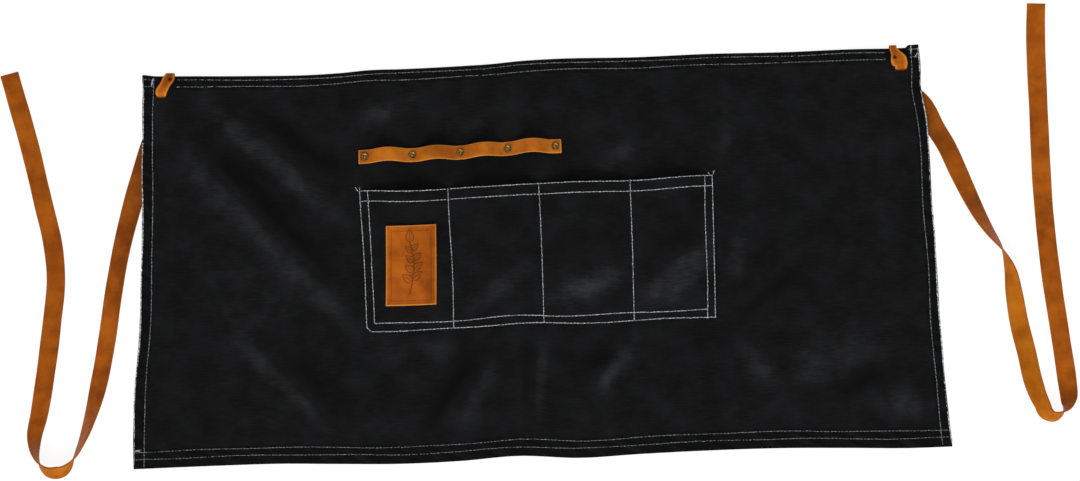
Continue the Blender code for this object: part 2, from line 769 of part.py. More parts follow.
def centre_on_origin(pieces, cutters):
    """Parent all to one empty that puts the bottom middle of the pieces' box at the origin."""
    bpy.context.view_layer.update()
    graph = bpy.context.evaluated_depsgraph_get()
    corners = []
    for piece in pieces:
        ready = piece.evaluated_get(graph)
        corners += [ready.matrix_world @ vert.co for vert in ready.data.vertices]
    low = Vector([min(corner[axis] for corner in corners) for axis in range(3)])
    high = Vector([max(corner[axis] for corner in corners) for axis in range(3)])
    base = bpy.data.objects.new("apron_place", None)
    bpy.data.collections["garden_apron"].objects.link(base)
    base.location = (-(low.x + high.x) / 2.0, -(low.y + high.y) / 2.0, -low.z)
    for item in (*pieces, *cutters):
        item.parent = base


def clear_scene():
    """Remove whatever the scene holds and make the two collections."""
    for item in list(bpy.data.objects):
        bpy.data.objects.remove(item)
    for name in ("garden_apron", "cutters"):
        collection = bpy.data.collections.new(name)
        bpy.context.scene.collection.children.link(collection)


def main():
    """Build the apron from its panel outwards."""
    clear_scene()
    panel = make_panel()
    pocket = make_pocket()
    patch = make_patch()
    strip = make_strip()
    rivets = make_rivets(panel, strip)
    ties = [make_tie(name) for name in HITCHES]
    cut_slots(panel)
    cutters = list(bpy.data.collections["cutters"].objects)
    centre_on_origin([panel, pocket, patch, strip, *rivets, *ties], cutters)


main()
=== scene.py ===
"""A lying canvas garden apron: cloth with soft folds, pale seams, tan leather and brass.

Metres, in the frame's own axes. A place on the cloth is given as it was cut: u runs from the
left hem to the right one, v from the bottom hem up to the waist edge.
"""

import json
import logging
from collections.abc import Callable
from dataclasses import dataclass, field
from enum import Enum
from math import cos, pi, radians, sin
from typing import NamedTuple

import bmesh
import bpy
import numpy as np
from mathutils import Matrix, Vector

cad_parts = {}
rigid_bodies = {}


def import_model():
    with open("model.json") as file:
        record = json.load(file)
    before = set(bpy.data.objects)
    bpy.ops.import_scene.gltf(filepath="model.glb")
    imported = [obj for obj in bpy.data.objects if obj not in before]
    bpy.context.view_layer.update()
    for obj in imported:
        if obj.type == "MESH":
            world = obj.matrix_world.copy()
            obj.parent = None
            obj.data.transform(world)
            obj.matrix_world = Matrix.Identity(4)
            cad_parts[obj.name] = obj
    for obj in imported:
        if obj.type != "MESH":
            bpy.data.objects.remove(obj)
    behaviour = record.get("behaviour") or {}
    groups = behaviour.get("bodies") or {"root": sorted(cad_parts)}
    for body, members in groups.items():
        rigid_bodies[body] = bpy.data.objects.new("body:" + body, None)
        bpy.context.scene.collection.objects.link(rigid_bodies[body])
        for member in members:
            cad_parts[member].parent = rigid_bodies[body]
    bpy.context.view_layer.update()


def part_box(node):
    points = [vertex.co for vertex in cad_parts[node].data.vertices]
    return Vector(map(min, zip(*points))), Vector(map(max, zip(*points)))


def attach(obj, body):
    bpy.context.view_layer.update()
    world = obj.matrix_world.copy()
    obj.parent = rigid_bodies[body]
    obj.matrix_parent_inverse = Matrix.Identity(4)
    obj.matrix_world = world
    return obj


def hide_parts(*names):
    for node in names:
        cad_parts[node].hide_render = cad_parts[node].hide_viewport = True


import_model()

logging.basicConfig(level=logging.INFO, format="%(message)s")
LOG = logging.getLogger("apron")

Array = np.ndarray
Node = bpy.types.Node
Socket = bpy.types.NodeSocket
Piece = bpy.types.Object
Material = bpy.types.Material
Pair = tuple[float, float]
Triple = tuple[float, float, float]
Place = Callable[[Array, Array], Array]

TIE_NODES = ("waist_tie_left", "waist_tie_right")

BLACK = (0.0, 0.0, 0.0)
WHITE = (1.0, 1.0, 1.0)

# Edges of more degrees than this are rounded, in this many steps
BEVEL_FROM = 55.0
BEVEL_STEPS = 2


class Bow(NamedTuple):
    """How far an edge bows out of its chord: along it, and out as a share of the depth."""

    along: float
    out: float


class Fold(NamedTuple):
    """A soft ridge between two places, with its half width and its rise as shares."""

    from_u: float
    from_v: float
    to_u: float
    to_v: float
    half_width: float
    rise: float


class Wave(NamedTuple):
    """A low wave over the whole cloth: its counts across and up, its phase and its rise."""

    across: float
    up: float
    phase: float
    rise: float


class Route(NamedTuple):
    """A place on a tie's middle line in shares of its length, and the strap's turn in degrees.

    At a turn of 0 the strap lies flat, at 90 it stands on edge, beyond that its flesh side shows.
    """

    x: float
    y: float
    turn: float


class Hitch(NamedTuple):
    """A tie's slot on the cloth, where its loop crosses the waist edge, and its route's start."""

    side: int
    slot_u: float
    below: float
    over: float
    width: float
    start_across: float
    start_up: float


class Swell(NamedTuple):
    """The width of a loop at a share of its length, as a share of its full width."""

    at: float
    width: float


class Ripple(NamedTuple):
    """An uneven ripple: radians to the metre of its waves, of their drift and of a finer wave."""

    waves: float
    drift: float
    fine: float
    phase: float

    def along(self, x: Array) -> Array:
        """How high the ripple is at distances along it, in shares of its rise."""
        drifting = np.sin(x * self.waves + 2.0 * np.sin(x * self.drift))
        return drifting + 0.6 * np.sin(x * self.fine + self.phase)


# Corners of the panel as it lies, as shares of its width and depth from the middle
TOP_LEFT = (-0.494, 0.4115)
TOP_RIGHT = (0.474, 0.485)
BOTTOM_RIGHT = (0.517, -0.514)
BOTTOM_LEFT = (-0.507, -0.571)

TOP_EDGE = (
    Bow(0.0, 0.0),
    Bow(0.06, -0.004),
    Bow(0.137, -0.009),
    Bow(0.215, -0.012),
    Bow(0.254, -0.010),
    Bow(0.292, -0.0055),
    Bow(0.33, -0.006),
    Bow(0.41, -0.004),
    Bow(0.447, -0.002),
    Bow(0.486, 0.003),
    Bow(0.525, 0.005),
    Bow(0.64, 0.0015),
    Bow(0.72, 0.003),
    Bow(0.835, 0.0),
    Bow(0.91, 0.001),
    Bow(0.976, -0.001),
    Bow(1.0, 0.0),
)
BOTTOM_EDGE = (
    Bow(0.0, 0.0),
    Bow(0.105, -0.003),
    Bow(0.18, -0.0035),
    Bow(0.25, 0.001),
    Bow(0.325, 0.005),
    Bow(0.40, 0.002),
    Bow(0.47, -0.0065),
    Bow(0.545, 0.0025),
    Bow(0.62, -0.003),
    Bow(0.69, -0.0065),
    Bow(0.80, -0.0075),
    Bow(0.875, -0.0035),
    Bow(0.95, 0.001),
    Bow(1.0, 0.0),
)
LEFT_EDGE = (
    Bow(0.0, 0.0),
    Bow(0.075, 0.003),
    Bow(0.24, 0.0),
    Bow(0.32, -0.0045),
    Bow(0.47, -0.007),
    Bow(0.68, -0.004),
    Bow(0.835, -0.001),
    Bow(0.935, 0.002),
    Bow(1.0, 0.0),
)
RIGHT_EDGE = (
    Bow(0.0, 0.0),
    Bow(0.14, -0.0035),
    Bow(0.29, -0.0045),
    Bow(0.44, 0.0),
    Bow(0.59, 0.001),
    Bow(0.83, 0.004),
    Bow(0.90, -0.002),
    Bow(0.96, 0.002),
    Bow(1.0, 0.0),
)

# Ridges from one end to the other, in shares of width and depth; half widths of the depth
FOLDS = (
    Fold(0.045, 0.87, 0.275, 0.40, 0.075, 1.0),
    Fold(0.100, 0.92, 0.270, 0.66, 0.065, 0.75),
    Fold(0.150, 0.37, 0.265, 0.08, 0.050, 0.60),
    Fold(0.440, 0.29, 0.370, 0.08, 0.048, 0.70),
    Fold(0.375, 0.30, 0.325, 0.20, 0.040, 0.45),
    Fold(0.495, 0.30, 0.495, 0.04, 0.038, 0.45),
    Fold(0.595, 0.28, 0.560, 0.14, 0.042, 0.55),
    Fold(0.735, 0.94, 0.735, 0.55, 0.040, 0.40),
    Fold(0.830, 0.52, 0.740, 0.29, 0.060, 0.70),
    Fold(0.745, 0.27, 0.815, 0.12, 0.048, 0.50),
    Fold(0.965, 0.19, 0.880, 0.10, 0.048, 0.70),
    Fold(0.400, 0.95, 0.290, 0.86, 0.040, 0.45),
    Fold(0.620, 0.93, 0.560, 0.80, 0.042, 0.35),
)

# Narrow creases left from when the cloth lay folded in its packet
CREASES = (
    Fold(0.493, 0.33, 0.491, 0.03, 0.012, 1.0),
    Fold(0.490, 0.96, 0.492, 0.70, 0.010, 0.6),
    Fold(0.738, 0.96, 0.735, 0.52, 0.012, 0.8),
    Fold(0.258, 0.95, 0.262, 0.72, 0.010, 0.5),
    Fold(0.262, 0.30, 0.258, 0.05, 0.010, 0.5),
    Fold(0.740, 0.40, 0.742, 0.06, 0.010, 0.5),
    Fold(0.05, 0.505, 0.22, 0.498, 0.009, 0.5),
    Fold(0.78, 0.500, 0.955, 0.507, 0.009, 0.5),
    Fold(0.115, 0.61, 0.225, 0.52, 0.013, 0.7),
    Fold(0.20, 0.20, 0.245, 0.07, 0.013, 0.6),
    Fold(0.40, 0.19, 0.365, 0.06, 0.012, 0.5),
    Fold(0.86, 0.33, 0.80, 0.20, 0.012, 0.5),
)

# Folds drawn over the pocket, in shares of its width and height; half widths of its height
POCKET_FOLDS = (
    Fold(0.985, 0.54, 0.790, 0.085, 0.125, 1.0),
    Fold(0.530, 0.17, 0.750, 0.44, 0.115, 0.7),
    Fold(0.360, 0.14, 0.475, 0.56, 0.120, 0.6),
    Fold(0.600, 0.78, 0.720, 0.62, 0.100, 0.4),
    Fold(0.800, 0.82, 0.930, 0.64, 0.100, 0.4),
    Fold(0.050, 0.10, 0.120, 0.55, 0.060, 0.3),
)

# Streaks of painted highlight on the lit sides of the folds, or below 0 of painted shade beside them,
# laid out as the folds
FOLD_SHADING = (
    Fold(0.020, 0.880, 0.300, 0.290, 0.042, 0.60),
    Fold(0.050, 0.885, 0.270, 0.415, 0.036, -0.95),
    Fold(0.080, 0.935, 0.262, 0.608, 0.032, 0.55),
    Fold(0.145, 0.905, 0.270, 0.710, 0.038, -0.65),
    Fold(0.100, 0.370, 0.268, 0.040, 0.024, 0.52),
    Fold(0.170, 0.320, 0.280, 0.070, 0.034, -0.65),
    Fold(0.100, 0.480, 0.180, 0.370, 0.080, 0.22),
    Fold(0.040, 0.120, 0.150, 0.090, 0.070, -0.30),
    Fold(0.268, 0.860, 0.378, 0.945, 0.024, 0.55),
    Fold(0.258, 0.970, 0.258, 0.880, 0.018, -0.60),
    Fold(0.400, 0.830, 0.480, 0.920, 0.024, 0.30),
    Fold(0.560, 0.705, 0.640, 0.790, 0.028, 0.42),
    Fold(0.300, 0.740, 0.560, 0.770, 0.050, -0.35),
    Fold(0.300, 0.280, 0.410, 0.285, 0.036, 0.38),
    Fold(0.453, 0.255, 0.393, 0.065, 0.026, 0.42),
    Fold(0.418, 0.270, 0.349, 0.050, 0.026, -0.70),
    Fold(0.505, 0.300, 0.496, 0.095, 0.018, 0.55),
    Fold(0.486, 0.290, 0.484, 0.070, 0.018, -0.55),
    Fold(0.622, 0.290, 0.569, 0.155, 0.026, 0.60),
    Fold(0.585, 0.285, 0.540, 0.150, 0.028, -0.40),
    Fold(0.762, 0.550, 0.737, 0.420, 0.026, 0.48),
    Fold(0.735, 0.310, 0.835, 0.465, 0.026, -0.65),
    Fold(0.745, 0.280, 0.785, 0.170, 0.026, 0.52),
    Fold(0.800, 0.170, 0.930, 0.285, 0.064, 0.42),
    Fold(0.854, 0.115, 0.930, 0.205, 0.022, -0.60),
    Fold(0.925, 0.110, 0.975, 0.115, 0.036, 0.62),
    Fold(0.750, 0.940, 0.742, 0.700, 0.022, 0.28),
    Fold(0.860, 0.600, 0.900, 0.400, 0.060, -0.20),
)

# The same over the pocket, in shares of its width and height
POCKET_FOLD_SHADING = (
    Fold(0.270, 0.080, 0.490, 0.460, 0.080, 0.45),
    Fold(0.515, 0.165, 0.770, 0.380, 0.095, 0.75),
    Fold(0.785, 0.070, 0.995, 0.540, 0.105, 0.95),
    Fold(0.780, 0.340, 0.960, 0.760, 0.120, -0.60),
    Fold(0.530, 0.450, 0.740, 0.700, 0.120, -0.35),
    Fold(0.290, 0.500, 0.450, 0.800, 0.110, -0.30),
    Fold(0.560, 0.800, 0.700, 0.620, 0.060, 0.20),
    Fold(0.800, 0.860, 0.960, 0.930, 0.045, 0.25),
    Fold(0.050, 0.150, 0.050, 0.900, 0.070, -0.30),
)

WAVES = (
    Wave(7.0, 2.0, 0.4, 0.45),
    Wave(11.0, -4.0, 2.1, 0.35),
    Wave(4.0, 6.0, 4.4, 0.40),
    Wave(17.0, 5.0, 1.2, 0.18),
    Wave(23.0, -9.0, 3.3, 0.12),
)

# How strong a streak is at its ends, and how fast streaks and creases grow from theirs
STREAK_END = 0.35
STREAK_TAPER = 3.0
CREASE_TAPER = 4.0

# Puckers along the waist and bottom hems, and up the side hems
PUCKERS_ALONG = Ripple(410.0, 63.0, 733.0, 1.1)
PUCKERS_UP = Ripple(450.0, 71.0, 801.0, 0.0)

LEFT_HITCH = Hitch(-1, 0.0192, 0.0193, 0.0088, 0.0110, 0.0060, 0.0107)
RIGHT_HITCH = Hitch(1, 0.7798, 0.0197, -0.0073, 0.0125, -0.0028, -0.0018)

# The small hole in the left loop and the pinched fold in the right one: across, up and radius
LEFT_EYELET = (0.0092, 0.0160, 0.0013)
RIGHT_PINCH = (-0.0060, 0.0110, 0.0013)

# How wide each loop is from its end behind the hem to its slot
LEFT_SWELL = (
    Swell(0.0, 0.90),
    Swell(0.24, 0.88),
    Swell(0.33, 0.80),
    Swell(0.45, 1.05),
    Swell(0.60, 0.92),
    Swell(0.76, 1.0),
    Swell(0.86, 0.98),
    Swell(0.92, 0.82),
    Swell(0.97, 0.52),
    Swell(1.0, 0.40),
)
RIGHT_SWELL = (
    Swell(0.0, 0.70),
    Swell(0.24, 0.62),
    Swell(0.40, 0.60),
    Swell(0.52, 0.78),
    Swell(0.64, 1.22),
    Swell(0.76, 1.28),
    Swell(0.84, 1.0),
    Swell(0.92, 0.90),
    Swell(0.97, 0.60),
    Swell(1.0, 0.40),
)

# The ties' middle lines from below their slots to their free ends
LEFT_ROUTE = (
    Route(-0.008, -0.0225, 0.0),
    Route(-0.0145, -0.051, 0.0),
    Route(-0.027, -0.092, 0.0),
    Route(-0.0405, -0.139, 0.0),
    Route(-0.0535, -0.192, 18.0),
    Route(-0.063, -0.245, 22.0),
    Route(-0.0705, -0.298, 18.0),
    Route(-0.080, -0.351, 26.0),
    Route(-0.0885, -0.386, 46.0),
    Route(-0.1005, -0.4215, 69.0),
    Route(-0.109, -0.439, 84.0),
    Route(-0.118, -0.451, 114.0),
    Route(-0.131, -0.457, 131.0),
    Route(-0.1435, -0.453, 114.0),
    Route(-0.152, -0.442, 88.0),
    Route(-0.156, -0.4215, 57.0),
    Route(-0.150, -0.386, 27.0),
    Route(-0.142, -0.333, 18.0),
    Route(-0.1355, -0.280, 18.0),
    Route(-0.131, -0.227, 16.0),
    Route(-0.134, -0.192, 16.0),
    Route(-0.146, -0.139, 16.0),
    Route(-0.163, -0.0685, 16.0),
    Route(-0.178, -0.0155, 14.0),
    Route(-0.186, 0.0125, 14.0),
)
RIGHT_ROUTE = (
    Route(0.005, -0.0085, 0.0),
    Route(0.0125, -0.0225, 0.0),
    Route(0.026, -0.0355, 0.0),
    Route(0.0455, -0.071, 0.0),
    Route(0.055, -0.0865, 10.0),
    Route(0.0715, -0.1215, 14.0),
    Route(0.088, -0.1565, 34.0),
    Route(0.0975, -0.1745, 46.0),
    Route(0.1085, -0.192, 62.0),
    Route(0.121, -0.2095, 82.0),
    Route(0.1305, -0.232, 116.0),
    Route(0.136, -0.2625, 146.0),
    Route(0.1425, -0.298, 172.0),
    Route(0.1515, -0.333, 180.0),
    Route(0.1595, -0.3685, 164.0),
    Route(0.168, -0.391, 144.0),
    Route(0.1795, -0.4075, 130.0),
    Route(0.1885, -0.4055, 112.0),
    Route(0.1955, -0.4015, 92.0),
    Route(0.2005, -0.386, 38.0),
    Route(0.199, -0.3685, 18.0),
    Route(0.1915, -0.3155, 0.0),
    Route(0.181, -0.2475, 0.0),
    Route(0.172, -0.1685, 0.0),
    Route(0.1655, -0.051, 0.0),
    Route(0.162, 0.055, 0.0),
    Route(0.1625, 0.078, 0.0),
)


def eased(x: Array | float) -> Array:
    """A smooth step from 0 to 1 as x goes from 0 to 1."""
    x = np.clip(x, 0.0, 1.0)
    return x * x * (3.0 - 2.0 * x)


def unit(ways: Array) -> Array:
    """Ways of length 1, a row each."""
    return ways / np.linalg.norm(ways, axis=1)[:, None]


def smooth_curve(knots: list[float], values: list[float]) -> Callable[[Array], Array]:
    """A smooth curve through values at knots, whose slopes follow from the neighbours.

    Args:
        knots: places of the values, in rising order.
        values: what the curve takes at the knots.

    Returns:
        The curve as a function of an array of places.
    """
    at = np.asarray(knots, dtype=float)
    height = np.asarray(values, dtype=float)
    slopes = np.gradient(height, at)

    def curve(x: Array) -> Array:
        """The curve at places, held level past its ends.

        Args:
            x: the places.

        Returns:
            A value for each place.
        """
        x = np.clip(x, at[0], at[-1])
        index = np.clip(np.searchsorted(at, x, side="right") - 1, 0, len(at) - 2)
        span = at[index + 1] - at[index]
        f = (x - at[index]) / span
        start = (2.0 * f**3 - 3.0 * f**2 + 1.0) * height[index]
        end = (3.0 * f**2 - 2.0 * f**3) * height[index + 1]
        leaving = (f**3 - 2.0 * f**2 + f) * span * slopes[index]
        arriving = (f**3 - f**2) * span * slopes[index + 1]
        return start + end + leaving + arriving

    return curve


def to_ridge(s: Array, t: Array, fold: Fold, ratio: float) -> tuple[Array, Array]:
    """How far places lie from a ridge's line.

    Args:
        s, t: places as shares of the cloth's width and depth.
        fold: the ridge.
        ratio: the cloth's width over its depth.

    Returns:
        Distances aside as shares of the depth, and the share of the ridge's length.
    """
    along = np.array(((fold.to_u - fold.from_u) * ratio, fold.to_v - fold.from_v))
    length = float(np.hypot(*along))
    along = along / length
    across = (s - fold.from_u) * ratio
    up = t - fold.from_v
    run = across * along[0] + up * along[1]
    beyond = np.maximum(np.maximum(-run, run - length), 0.0)
    side = np.maximum(across**2 + up**2 - run**2, 0.0) + beyond**2
    return np.sqrt(side), run / length


def streaks(s: Array, t: Array, table: tuple[Fold, ...], ratio: float) -> Array:
    """How much painted highlight places of a cloth get along the fold streaks, below 0 painted shade.

    Args:
        s, t: places as shares of the cloth's width and depth.
        table: the streaks.
        ratio: the cloth's width over its depth.

    Returns:
        Shares from -1 to 1.
    """
    share = np.zeros(len(s))
    for streak in table:
        aside, run = to_ridge(s, t, streak, ratio)
        taper = STREAK_END + (1.0 - STREAK_END) * eased(STREAK_TAPER * np.minimum(run, 1.0 - run))
        share = share + streak.rise * taper * np.exp(-((aside / streak.half_width) ** 2))
    return np.clip(share, -1.0, 1.0)


def creases(s: Array, t: Array, table: tuple[Fold, ...], ratio: float) -> Array:
    """How high narrow ridges stand at places of a cloth.

    Args:
        s, t: places as shares of the cloth's width and depth.
        table: the ridges.
        ratio: the cloth's width over its depth.

    Returns:
        Shares of the ridges' rise.
    """
    high = np.zeros(len(s))
    for fold in table:
        aside, run = to_ridge(s, t, fold, ratio)
        taper = eased(CREASE_TAPER * np.minimum(run, 1.0 - run))
        high = np.maximum(high, fold.rise * taper * np.exp(-((aside / fold.half_width) ** 2)))
    return high


def evenly(start: float, *stops: Pair) -> Array:
    """Values from a start on to each stop.

    Args:
        start: the first value.
        stops: a value each, with the spacing that leads up to it.

    Returns:
        The values, with the start and every stop among them.
    """
    values = [start]
    for target, spacing in stops:
        count = max(1, round((target - values[-1]) / spacing))
        values.extend(np.linspace(values[-1], target, count + 1)[1:])
    return np.array(values)


def deselect() -> None:
    """Deselect every object, so that an operator acts on the new one only."""
    for item in bpy.data.objects:
        if item.name in bpy.context.view_layer.objects:
            item.select_set(False)


def adopt(piece: Piece, name: str) -> Piece:
    """Name a new object and make it the only one selected.

    Args:
        piece: the object.
        name: its new name.

    Returns:
        The object.
    """
    deselect()
    piece.name = name
    piece.data.name = name
    piece.select_set(True)
    bpy.context.view_layer.objects.active = piece
    return piece


def coordinates(mesh: bpy.types.Mesh) -> Array:
    """The places of a mesh's vertices, a row each.

    Args:
        mesh: the mesh.

    Returns:
        Rows of x, y and z.
    """
    flat = np.empty(len(mesh.vertices) * 3)
    mesh.vertices.foreach_get("co", flat)
    return flat.reshape(-1, 3)


def laid_grid(name: str, columns: Array, rows: Array, place: Place) -> Piece:
    """A sheet of quads laid where a function says.

    Args:
        name: the new object's name.
        columns: the u of each column of vertices.
        rows: the v of each row of vertices.
        place: gives the places of arrays of u and v, a row each.

    Returns:
        The object, with a UV map in metres of u and v.
    """
    deselect()
    bpy.ops.mesh.primitive_grid_add(
        x_subdivisions=len(columns) - 1, y_subdivisions=len(rows) - 1, size=1.0, calc_uvs=True
    )
    piece = adopt(bpy.context.object, name)
    mesh = piece.data
    flat = coordinates(mesh) + 0.5
    u = columns[np.rint(flat[:, 0] * (len(columns) - 1)).astype(int)]
    v = rows[np.rint(flat[:, 1] * (len(rows) - 1)).astype(int)]
    mesh.vertices.foreach_set("co", place(u, v).ravel())
    corners = np.empty(len(mesh.loops), dtype=int)
    mesh.loops.foreach_get("vertex_index", corners)
    mesh.uv_layers.active.data.foreach_set("uv", np.column_stack((u, v))[corners].ravel())
    mesh.update()
    return piece


def flat_places(mesh: bpy.types.Mesh) -> Array:
    """The flat place that a sheet's UV map gives each vertex, a row each.

    Args:
        mesh: a sheet's mesh.

    Returns:
        Rows of u and v.
    """
    corners = np.empty(len(mesh.loops), dtype=int)
    mesh.loops.foreach_get("vertex_index", corners)
    flat = np.empty(len(mesh.loops) * 2)
    mesh.uv_layers.active.data.foreach_get("uv", flat)
    places = np.zeros((len(mesh.vertices), 2))
    places[corners] = flat.reshape(-1, 2)
    return places


def mark(mesh: bpy.types.Mesh, name: str, values: Array) -> None:
    """Store a share for each vertex, for the materials to read."""
    attribute = mesh.attributes.new(name, "FLOAT", "POINT")
    attribute.data.foreach_set("value", values.ravel().astype(np.float32))


def apply_modifiers(piece: Piece) -> None:
    """Apply a piece's modifiers, from the first to the last.

    Args:
        piece: the object.
    """
    adopt(piece, piece.name)
    for modifier in list(piece.modifiers):
        bpy.ops.object.modifier_apply(modifier=modifier.name)


def solidify(piece: Piece, thickness: float) -> None:
    """Give a sheet its thickness below the face that it has.

    Args:
        piece: the sheet.
        thickness: its thickness.
    """
    modifier = piece.modifiers.new("thickness", "SOLIDIFY")
    modifier.thickness = thickness
    modifier.offset = -1.0
    apply_modifiers(piece)


def soften_edges(piece: Piece, width: float) -> None:
    """Round a piece's sharp edges and shade it smooth.

    Args:
        piece: the object.
        width: how wide the rounding is.
    """
    modifier = piece.modifiers.new("soft_edges", "BEVEL")
    modifier.width = width
    modifier.segments = BEVEL_STEPS
    modifier.limit_method = "ANGLE"
    modifier.angle_limit = radians(BEVEL_FROM)
    apply_modifiers(piece)
    piece.data.shade_smooth()


def from_arrays(name: str, points: Array, faces: list[tuple[int, ...]]) -> Piece:
    """An object made of points and faces, at the origin.

    Args:
        name: its name.
        points: rows of x, y and z.
        faces: the points of each face.

    Returns:
        The object.
    """
    mesh = bpy.data.meshes.new(name)
    mesh.from_pydata(points.tolist(), [], faces)
    mesh.update()
    mesh.shade_smooth()
    piece = bpy.data.objects.new(name, mesh)
    bpy.context.scene.collection.objects.link(piece)
    return piece


def finish_piece(piece: Piece, material: Material, slot: str | None, *nodes: str) -> Piece:
    """Dress a piece, let it ride on the root body and report it.

    Args:
        piece: the finished object.
        material: what it is made of.
        slot: the record's material slot, if it takes its finish from one; not used.
        nodes: the CAD nodes that it stands for.

    Returns:
        The same object.
    """
    if not piece.data.materials:
        piece.data.materials.append(material)
    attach(piece, "root")
    if nodes:
        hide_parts(*nodes)
    LOG.info("%s: %d faces", piece.name, len(piece.data.polygons))
    return piece


def set_inputs(node: Node, values: dict[str, object]) -> None:
    """Give the inputs of a node their values, by name."""
    for name, value in values.items():
        node.inputs[name].default_value = value


class Tree:
    """Adds and links the nodes of a material or a group."""

    def __init__(self, tree: bpy.types.NodeTree) -> None:
        """Keep the tree that nodes are added to."""
        self.tree = tree

    def add(self, kind: str, **settings: object) -> Node:
        """A new node with its settings.

        Args:
            kind: its type.
            settings: its properties.

        Returns:
            The node.
        """
        node = self.tree.nodes.new(f"ShaderNode{kind}")
        for name, value in settings.items():
            setattr(node, name, value)
        return node

    def link(self, source: Socket, target: Socket) -> None:
        """Join an output to an input."""
        self.tree.links.new(source, target)

    def math(self, operation: str, first: object, second: object = 0.0) -> Socket:
        """The result of a calculation with two sockets or numbers.

        Args:
            operation: the calculation.
            first, second: its operands.

        Returns:
            The result.
        """
        node = self.add("Math", operation=operation)
        for socket, value in zip(node.inputs, (first, second)):
            if isinstance(value, Socket):
                self.link(value, socket)
            else:
                socket.default_value = value
        return node.outputs[0]

    def noise(self, vector: Socket, scale: float, detail: float) -> Socket:
        """A noise of a scale, as a value from 0 to 1.

        Args:
            vector: places.
            scale: how fine it is.
            detail: its layers.

        Returns:
            The value.
        """
        node = self.add("TexNoise")
        set_inputs(node, {"Scale": scale, "Detail": detail})
        self.link(vector, node.inputs["Vector"])
        return node.outputs["Fac"]

    def stretch(self, vector: Socket, scale: Triple, turn: float = 0.0) -> Socket:
        """A vector scaled along each axis, after a turn about the third one in degrees.

        Args:
            vector: places.
            scale: a factor for each axis.
            turn: the turn in degrees.

        Returns:
            The new places.
        """
        node = self.add("Mapping")
        set_inputs(node, {"Scale": scale, "Rotation": (0.0, 0.0, radians(turn))})
        self.link(vector, node.inputs["Vector"])
        return node.outputs[0]

    def ramp(self, value: Socket, low: float, high: float) -> Socket:
        """The share of the way of a value from low to high.

        Args:
            value: the value.
            low, high: where it starts and ends.

        Returns:
            The share.
        """
        node = self.add("MapRange", interpolation_type="SMOOTHSTEP")
        set_inputs(node, {"From Min": low, "From Max": high})
        self.link(value, node.inputs["Value"])
        return node.outputs[0]

    def total(self, *parts: tuple[Socket, object]) -> Socket:
        """The sum of sockets, each times its weight, which is a number or a socket.

        Args:
            parts: sockets and their weights.

        Returns:
            The sum.
        """
        total = None
        for socket, weight in parts:
            part = self.math("MULTIPLY", socket, weight)
            total = part if total is None else self.math("ADD", total, part)
        return total

    def stored(self, name: str) -> Socket:
        """A share that the mesh stores for each vertex."""
        return self.add("Attribute", attribute_name=name).outputs["Fac"]

    def bump(self, height: Socket, strength: float, distance: float, shader: Node) -> None:
        """Let a height shape the light on a shader.

        Args:
            height: the height.
            strength: its share.
            distance: the height's unit in metres.
            shader: the shader.
        """
        node = self.add("Bump")
        set_inputs(node, {"Strength": strength, "Distance": distance})
        self.link(height, node.inputs["Height"])
        self.link(node.outputs["Normal"], shader.inputs["Normal"])

    def blend(self, share: Socket, first: object, second: object) -> Socket:
        """A colour between two colours, each a socket or three numbers.

        Args:
            share: the second one's share.
            first, second: the colours.

        Returns:
            The colour.
        """
        node = self.add("Mix", data_type="RGBA")
        self.link(share, node.inputs["Factor"])
        for socket, value in zip((node.inputs[6], node.inputs[7]), (first, second)):
            if isinstance(value, Socket):
                self.link(value, socket)
            else:
                socket.default_value = (*value, 1.0)
        return node.outputs[2]


def new_material(name: str) -> tuple[Material, Tree, Node]:
    """A new material, its tree helper and its shader.

    Args:
        name: its name.

    Returns:
        The material, the helper and the shader.
    """
    material = bpy.data.materials.new(name)
    material.use_nodes = True
    return material, Tree(material.node_tree), material.node_tree.nodes["Principled BSDF"]


def new_group(name: str, inputs: tuple[str, ...], outputs: tuple[str, ...]) -> tuple:
    """A node group whose first input is a vector and whose other sockets are values.

    Args:
        name: the group's name.
        inputs: names of the values that it takes.
        outputs: names of the values that it gives.

    Returns:
        The tree helper, the group's input node and its output node.
    """
    group = bpy.data.node_groups.new(name, "ShaderNodeTree")
    group.interface.new_socket(name="Vector", in_out="INPUT", socket_type="NodeSocketVector")
    for item in inputs:
        group.interface.new_socket(name=item, in_out="INPUT", socket_type="NodeSocketFloat")
    for item in outputs:
        group.interface.new_socket(name=item, in_out="OUTPUT", socket_type="NodeSocketFloat")
    return Tree(group), group.nodes.new("NodeGroupInput"), group.nodes.new("NodeGroupOutput")


